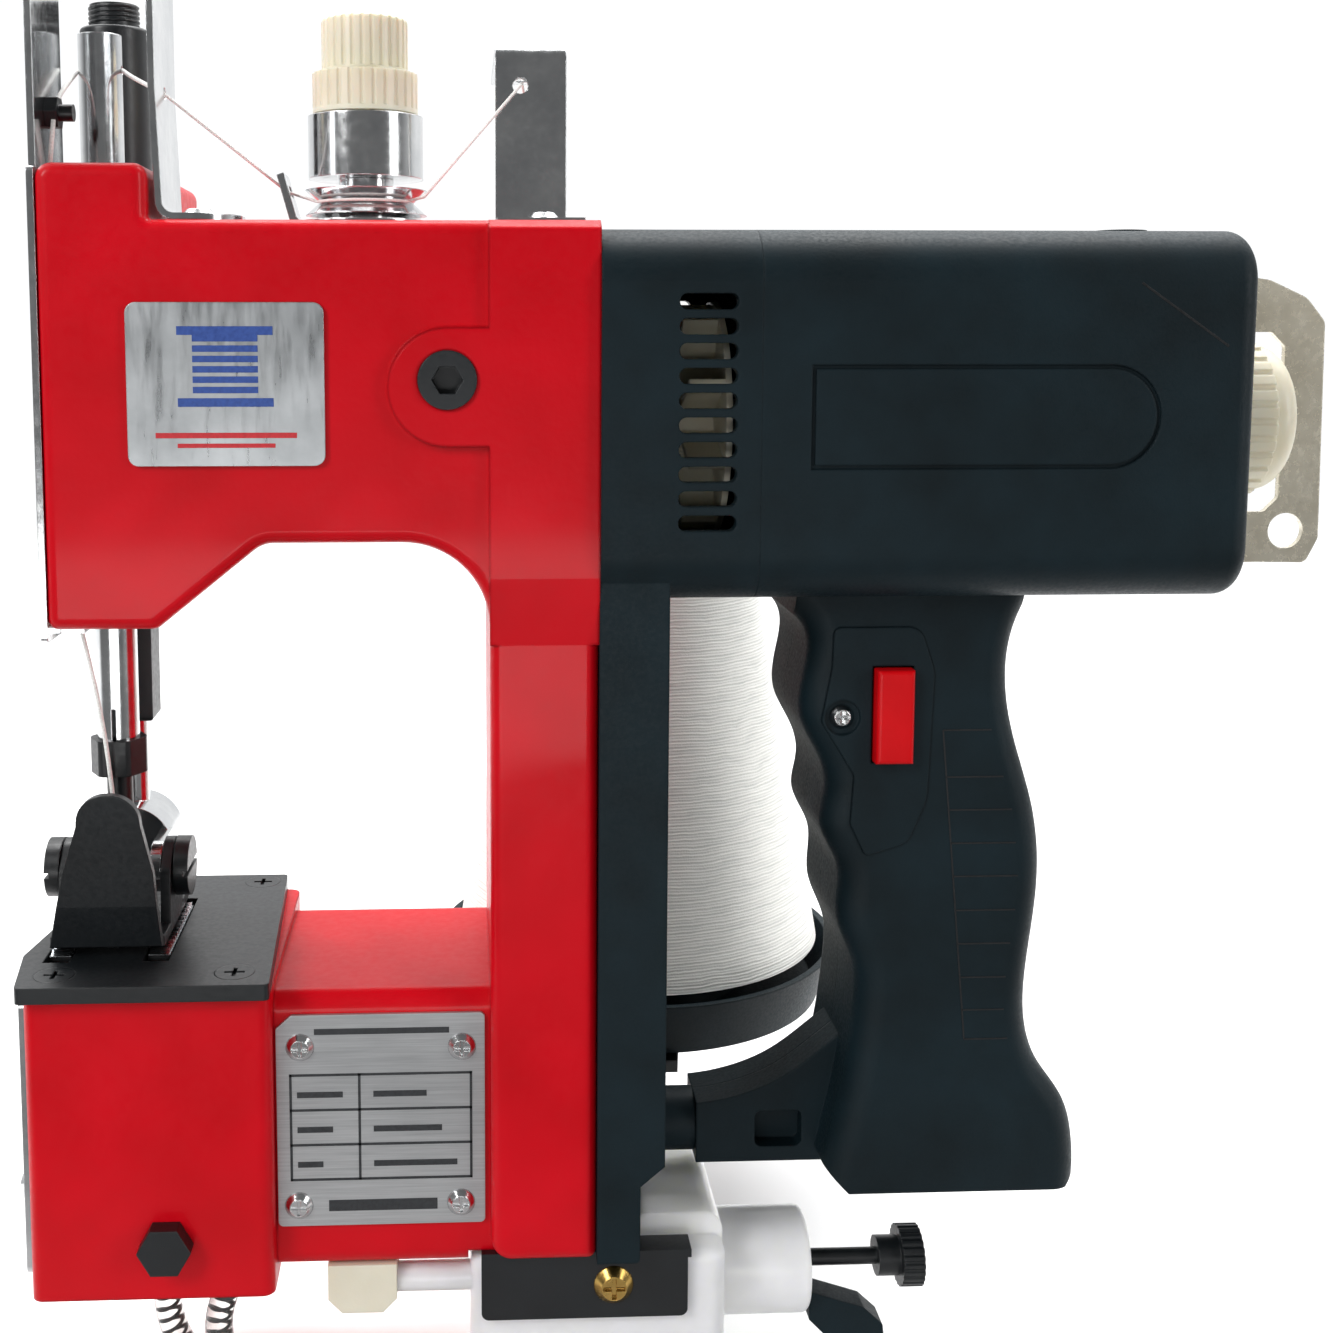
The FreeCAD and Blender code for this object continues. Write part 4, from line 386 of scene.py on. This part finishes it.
def addTube(shape, points, radius, sides=10):
    # a closed tube along points
    points = [Vector(p) for p in points]
    heading = (points[1] - points[0]).normalized()
    across = heading.orthogonal().normalized()
    rings = []
    for i, point in enumerate(points):
        before, after = points[max(i - 1, 0)], points[min(i + 1, len(points) - 1)]
        along = (after - before).normalized()
        across = (across - along * across.dot(along)).normalized()
        other = along.cross(across)
        rings.append([shape.verts.new(point + radius * (math.cos(a) * across + math.sin(a) * other))
                      for a in [2 * math.pi * k / sides for k in range(sides)]])
    for first, second in zip(rings, rings[1:]):
        for k in range(sides):
            shape.faces.new((first[k], first[(k + 1) % sides], second[(k + 1) % sides], second[k]))
    shape.faces.new(rings[0])
    shape.faces.new(rings[-1][::-1])


def smoothPoints(points, steps):
    # points on a smooth line through the given ones
    points = [Vector(p) for p in points]
    found = []
    for i in range(len(points) - 1):
        a, b = points[max(i - 1, 0)], points[i]
        c, d = points[i + 1], points[min(i + 2, len(points) - 1)]
        for k in range(steps):
            t = k / steps
            found.append(0.5 * (2 * b + (c - a) * t + (2 * a - 5 * b + 4 * c - d) * t * t
                                + (3 * b - a - 3 * c + d) * t ** 3))
    return found + [points[-1]]


def splinePoints(curve):
    # evenly spaced points read from a curve with no bevel
    mesh = bpy.data.meshes.new_from_object(curve)
    line = [vert.co.copy() for vert in mesh.vertices]
    bpy.data.meshes.remove(mesh)
    return line


def routeCurve(name, route):
    data = bpy.data.curves.new(name, "CURVE")
    data.dimensions = "3D"
    spline = data.splines.new("NURBS")
    spline.points.add(len(route) - 1)
    for point, place in zip(spline.points, route):
        point.co = (*place, 1.0)
    spline.order_u = 3
    spline.use_endpoint_u = True
    spline.resolution_u = 24
    curve = bpy.data.objects.new(name, data)
    bpy.context.scene.collection.objects.link(curve)
    return curve


# camera and light
camera = {"place": (-0.02565, -0.32878, 0.22597), "pitch": 84.0, "yaw": -2.5, "lens": 43.2, "shift": (0.10, -0.12)}
studio = {"floor": 1.6, "dim": 0.17, "dimAt": -0.25, "white": 1.05, "whiteAt": 0.55}
lights = {
    "key": {"place": (-0.75, -0.70, 0.75), "aim": (0.0, 0.0, 0.14), "size": (0.35, 0.55), "power": 8.6},
    "fill": {"place": (0.95, -0.55, 0.45), "aim": (0.02, 0.0, 0.14), "size": (0.3, 0.8), "power": 4.4},
    "top": {"place": (0.0, 0.20, 0.95), "aim": (0.0, 0.0, 0.15), "size": (0.9, 0.3), "power": 7.5},
    "floor_wash": {"place": (0.0, 0.9, 1.4), "aim": (0.0, 0.9, 0.0), "size": (3.2, 1.8), "power": 40.0},
    "low_front": {"place": (-0.10, -0.55, 0.06), "aim": (0.0, 0.0, 0.05), "size": (0.5, 0.12), "power": 0.9}}


def makeCamera():
    data = bpy.data.cameras.new("camera")
    data.lens = camera["lens"]
    data.sensor_width = 36.0
    data.shift_x, data.shift_y = camera["shift"]
    data.clip_start = 0.01
    eye = bpy.data.objects.new("camera", data)
    eye.location = camera["place"]
    eye.rotation_euler = (math.radians(camera["pitch"]), 0, math.radians(camera["yaw"]))
    bpy.context.scene.collection.objects.link(eye)
    bpy.context.scene.camera = eye


def makeLight(name, place, aim, size, power):
    data = bpy.data.lights.new(name, "AREA")
    data.shape = "RECTANGLE"
    data.size, data.size_y = size
    data.energy = power
    light = bpy.data.objects.new(name, data)
    light.location = place
    light.rotation_euler = (Vector(aim) - Vector(place)).to_track_quat("-Z", "Y").to_euler()
    bpy.context.scene.collection.objects.link(light)


def makeStage():
    mesh = bpy.data.meshes.new("floor")
    shape = bmesh.new()
    bmesh.ops.create_grid(shape, x_segments=1, y_segments=1, size=studio["floor"])
    shape.to_mesh(mesh)
    shape.free()
    floor = bpy.data.objects.new("floor", mesh)
    mesh.materials.append(floorMaterial())
    bpy.context.scene.collection.objects.link(floor)
    world = bpy.data.worlds.new("studio")
    bpy.context.scene.world = world
    world.use_nodes = True
    tree = world.node_tree
    tree.nodes.clear()
    # a white sweep behind the object, a dim room in front of it
    aim = addNode(tree, "ShaderNodeTexCoord").outputs["Generated"]
    split = addNode(tree, "ShaderNodeSeparateXYZ", {"Vector": aim})
    strength = addNode(tree, "ShaderNodeMapRange", {"Value": split.outputs["Y"], "From Min": studio["dimAt"],
                                                    "From Max": studio["whiteAt"], "To Min": studio["dim"],
                                                    "To Max": studio["white"]}).outputs["Result"]
    back = addNode(tree, "ShaderNodeBackground", {"Color": linear("#fdfeff"), "Strength": strength})
    output = addNode(tree, "ShaderNodeOutputWorld")
    tree.links.new(back.outputs["Background"], output.inputs["Surface"])


makeCamera()
makeStage()
for name, values in lights.items():
    makeLight(name, **values)
view = bpy.context.scene.view_settings
view.view_transform = "Standard"
view.look = "None"
print("camera and light")


# hoses
hoses = {
    "tubeDiameter": 0.0056, "springRadius": 0.00155, "springWire": 0.00042, "springPitch": 0.0024, "springInset": 0.003,
    "left": [(-0.0862, -0.0100, 0.0385), (-0.0886, -0.0100, 0.0300), (-0.0878, -0.0100, 0.02095),
             (-0.08375, -0.0100, 0.0128), (-0.0770, -0.0100, 0.0067), (-0.0685, -0.0103, 0.0034),
             (-0.0550, -0.0109, 0.0038), (-0.0400, -0.0105, 0.0034), (-0.0250, -0.0105, 0.0042)],
    "right": [(-0.0725, -0.0190, 0.0385), (-0.0761, -0.0190, 0.0308), (-0.0764, -0.0190, 0.0218),
              (-0.0732, -0.0190, 0.0134), (-0.06695, -0.0190, 0.0069), (-0.05865, -0.0188, 0.0034),
              (-0.0474, -0.0184, 0.0038), (-0.0362, -0.0186, 0.0034), (-0.0250, -0.0186, 0.0040)],
    "lengths": {"left": 0.0883, "right": 0.0776}}


def makeHose(side):
    route = hoses[side]
    tube = routeCurve("hose_" + side + "_tube", route)
    line = splinePoints(tube)
    tube.data.bevel_depth = hoses["tubeDiameter"] / 2
    tube.data.bevel_resolution = 5
    tube.data.use_fill_caps = True
    tube.data.materials.append(looks["clear_hose"])

    # the spring follows the tube's own line, clear of its ends
    clear = hoses["springInset"]
    lengths = [0.0]
    for a, b in zip(line, line[1:]):
        lengths.append(lengths[-1] + (b - a).length)
    total = lengths[-1]
    turns = (total - 2 * clear) / hoses["springPitch"]
    steps = int(turns * 12)
    points = []
    across = Vector((0, 1, 0))
    k = 0
    for i in range(steps + 1):
        reach = clear + (total - 2 * clear) * i / steps
        while k < len(lengths) - 2 and lengths[k + 1] < reach:
            k += 1
        part = (reach - lengths[k]) / (lengths[k + 1] - lengths[k])
        here = line[k].lerp(line[k + 1], part)
        along = (line[k + 1] - line[k]).normalized()
        flat = (across - along * across.dot(along)).normalized()
        other = along.cross(flat)
        angle = 2 * math.pi * turns * i / steps
        points.append(here + hoses["springRadius"] * (math.cos(angle) * flat + math.sin(angle) * other))
    spring = addMesh("hose_" + side + "_spring", lambda s: addTube(s, points, hoses["springWire"], 6), springLook)
    for face in spring.data.polygons:
        face.use_smooth = True
    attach(tube, "root")
    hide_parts("hose_" + side)


makeHose("left")
makeHose("right")
print("hoses")


# moving thread runs
thread = {
    "radius": 0.00045,
    "upper": [(-0.0820, -0.0170, 0.2720), (-0.0892, -0.0086, 0.2762), (-0.0931, 0.0, 0.2790)],
    "lower": [(-0.1017, 0.0, 0.2790), (-0.1022, -0.0110, 0.2735), (-0.1022, -0.0192, 0.2686)],
    "front": [(-0.1022, -0.0192, 0.2668), (-0.1058, -0.0188, 0.2300), (-0.1058, -0.0175, 0.1900),
              (-0.1014, -0.0140, 0.1702), (-0.0984, -0.0080, 0.1450), (-0.0972, -0.0014, 0.1130)]}


def makeThreadRun(name, points):
    run = addMesh(name, lambda s: addTube(s, smoothPoints(points, 8), thread["radius"], 8), threadLook,
                  None)
    for face in run.data.polygons:
        face.use_smooth = True
    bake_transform(run)


makeThreadRun("thread_to_bar", thread["upper"])
makeThreadRun("thread_from_bar", thread["lower"][::-1])
makeThreadRun("thread_to_needle", thread["front"])
print("thread")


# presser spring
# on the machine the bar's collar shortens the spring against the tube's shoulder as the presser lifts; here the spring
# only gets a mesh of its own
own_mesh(nodes["presser_spring"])
print("spring")


# badge emblem and nameplate marks
badge = {"x": -0.06945, "face": -0.0308, "ink": 0.00008, "edge": 0.00002, "spool": 0.2208, "rules": 0.2080,
         "turns": 6, "turnPitch": 0.0019}
plate = {"face": -0.0258, "ink": 0.00006, "left": -0.0605, "right": -0.0245, "line": 0.0005, "rowPitch": 0.0072}


def badgeSpool(shape):
    # a plain printed thread spool: two flanges and the turns between them
    x, z, y = badge["x"], badge["spool"], badge["face"]
    layers = [(-0.0088, 0.0088, 0.0058, 0.0074), (-0.0088, 0.0088, -0.0074, -0.0058)]
    layers += [(-0.0060, 0.0060, 0.0012 + badge["turnPitch"] * i - 0.0061, 0.0024 + badge["turnPitch"] * i - 0.0061)
               for i in range(badge["turns"])]
    for x0, x1, z0, z1 in layers:
        addBox(shape, (x + x0, y - badge["ink"], z + z0), (x + x1, y, z + z1), badge["edge"])


def badgeRules(shape):
    # two plain printed rules under the spool
    x, z, y = badge["x"], badge["rules"], badge["face"]
    for half, z0, z1 in ((0.0130, -0.0004, 0.0006), (0.0090, -0.0022, -0.0014)):
        addBox(shape, (x - half, y - badge["ink"], z + z0), (x + half, y, z + z1), badge["edge"])


def nameplateMarks(shape):
    # etched rules round blank fields, and a bar in each field
    y, left, right, line = plate["face"], plate["left"], plate["right"], plate["line"]
    fields = [(-0.0555, -0.0290, 0.0900, 0.0912), (left, right, 0.0815, 0.0815 + line),
              (left, right, 0.0743, 0.0743 + line), (left, right, 0.0671, 0.0671 + line),
              (left, right, 0.0599, 0.0599 + line), (left, left + line, 0.0599, 0.0820),
              (-0.0470, -0.0470 + line, 0.0599, 0.0820), (right - line, right, 0.0599, 0.0820),
              (-0.0530, -0.0315, 0.0535, 0.0558)]
    for x0, x1, z0, z1 in fields:
        addBox(shape, (x0, y - plate["ink"], z0), (x1, y, z1))
    for row in range(3):
        z = 0.0777 - plate["rowPitch"] * row
        addBox(shape, (-0.0590, y - plate["ink"], z - 0.0006), (-0.0500 - 0.002 * row, y, z + 0.0006))
        addBox(shape, (-0.0440, y - plate["ink"], z - 0.0006), (-0.0335 + 0.003 * row, y, z + 0.0006))


addMesh("badge_spool", badgeSpool, printedFilm("blue_print", "#1f3f86", "#2a4d9a"))
addMesh("badge_rules", badgeRules, printedFilm("red_print", "#b3131f", "#c61c28"))
addMesh("nameplate_marks", nameplateMarks, inkLook)


label = {"left": 0.0401, "right": 0.1049, "low": 0.2023, "high": 0.2203, "face": -0.0329, "back": -0.0323}


def pushed(shape, outline, front, back):
    # a flat piece with this outline of (x, z) points, from front to back in Y
    first = [shape.verts.new((x, front, z)) for x, z in outline]
    second = [shape.verts.new((x, back, z)) for x, z in outline]
    shape.faces.new(first)
    shape.faces.new(second[::-1])
    for i in range(len(outline)):
        j = (i + 1) % len(outline)
        shape.faces.new((first[i], second[i], second[j], first[j]))


def labelShape(shape):
    radius = (label["high"] - label["low"]) / 2
    middle = (label["high"] + label["low"]) / 2
    outline = [(label["left"], label["low"])]
    for i in range(25):
        a = -math.pi / 2 + math.pi * i / 24
        outline.append((label["right"] - radius + radius * math.cos(a), middle + radius * math.sin(a)))
    outline.append((label["left"], label["high"]))
    pushed(shape, outline, label["face"], label["back"])


addMesh("motor_label", labelShape, looks["black_nylon"])
print("plates")


# small details
post = {"centre": (-0.0974, 0.0142), "radius": 0.0049, "low": 0.2900, "height": 0.0038, "turns": 4, "wire": 0.00035}
# height and right end of each rib on the grip, with the rib's left ends on a slanting line
ribs = {"high": (0.0700, 0.1480), "low": (0.0760, 0.0835), "width": 0.00032, "face": -0.01903,
        "proud": 0.00004, "sunk": 0.0002, "rounding": 0.0056,
        "ends": [(0.1480, 0.0854), (0.1384, 0.0881), (0.1316, 0.0901), (0.1247, 0.0911), (0.1178, 0.0917),
                 (0.1107, 0.0914), (0.1037, 0.0906), (0.0966, 0.0899), (0.0897, 0.0897), (0.0835, 0.0906)]}
grooves = {"lines": [((0.1010, 0.2363), (0.1180, 0.2245))], "width": 0.00044, "front": -0.03304, "back": -0.0328}


def postThread(shape):
    # the coarse screw thread on the presser tube's top
    steps = 20  # in each turn
    x, y = post["centre"]
    points = []
    for i in range(post["turns"] * steps + 1):
        a = 2 * math.pi * i / steps
        points.append((x + post["radius"] * math.cos(a), y + post["radius"] * math.sin(a),
                       post["low"] + post["height"] * i / (post["turns"] * steps)))
    addTube(shape, points, post["wire"], 6)


addMesh("post_thread", postThread, looks["black_steel"])


def handleGrooves(shape):
    # the fine lines on the back of the grip and the slanting one where they start
    (x0, z0), (x1, z1) = ribs["high"], ribs["low"]
    half, front, back = ribs["width"] / 2, ribs["face"] - ribs["proud"], ribs["face"] + ribs["sunk"]
    for z, end in ribs["ends"]:
        start = x0 + (x1 - x0) * (z - z0) / (z1 - z0)
        addBox(shape, (start, front, z - half), (end - ribs["rounding"], back, z + half))
    pushed(shape, [(x0 - half, z0), (x0 + half, z0), (x1 + half, z1), (x1 - half, z1)], front, back)


addMesh("grip_ribs", handleGrooves, seamLook)


def housingGrooves(shape):
    # the moulded part lines across the motor housing's end
    for (x0, z0), (x1, z1) in grooves["lines"]:
        along = Vector((x1 - x0, 0, z1 - z0)).normalized()
        side = Vector((-along.z, 0, along.x)) * grooves["width"] / 2
        outline = [(x0 + side.x, z0 + side.z), (x1 + side.x, z1 + side.z),
                   (x1 - side.x, z1 - side.z), (x0 - side.x, z0 - side.z)]
        pushed(shape, outline, grooves["front"], grooves["back"])


addMesh("housing_part_lines", housingGrooves, seamLook)
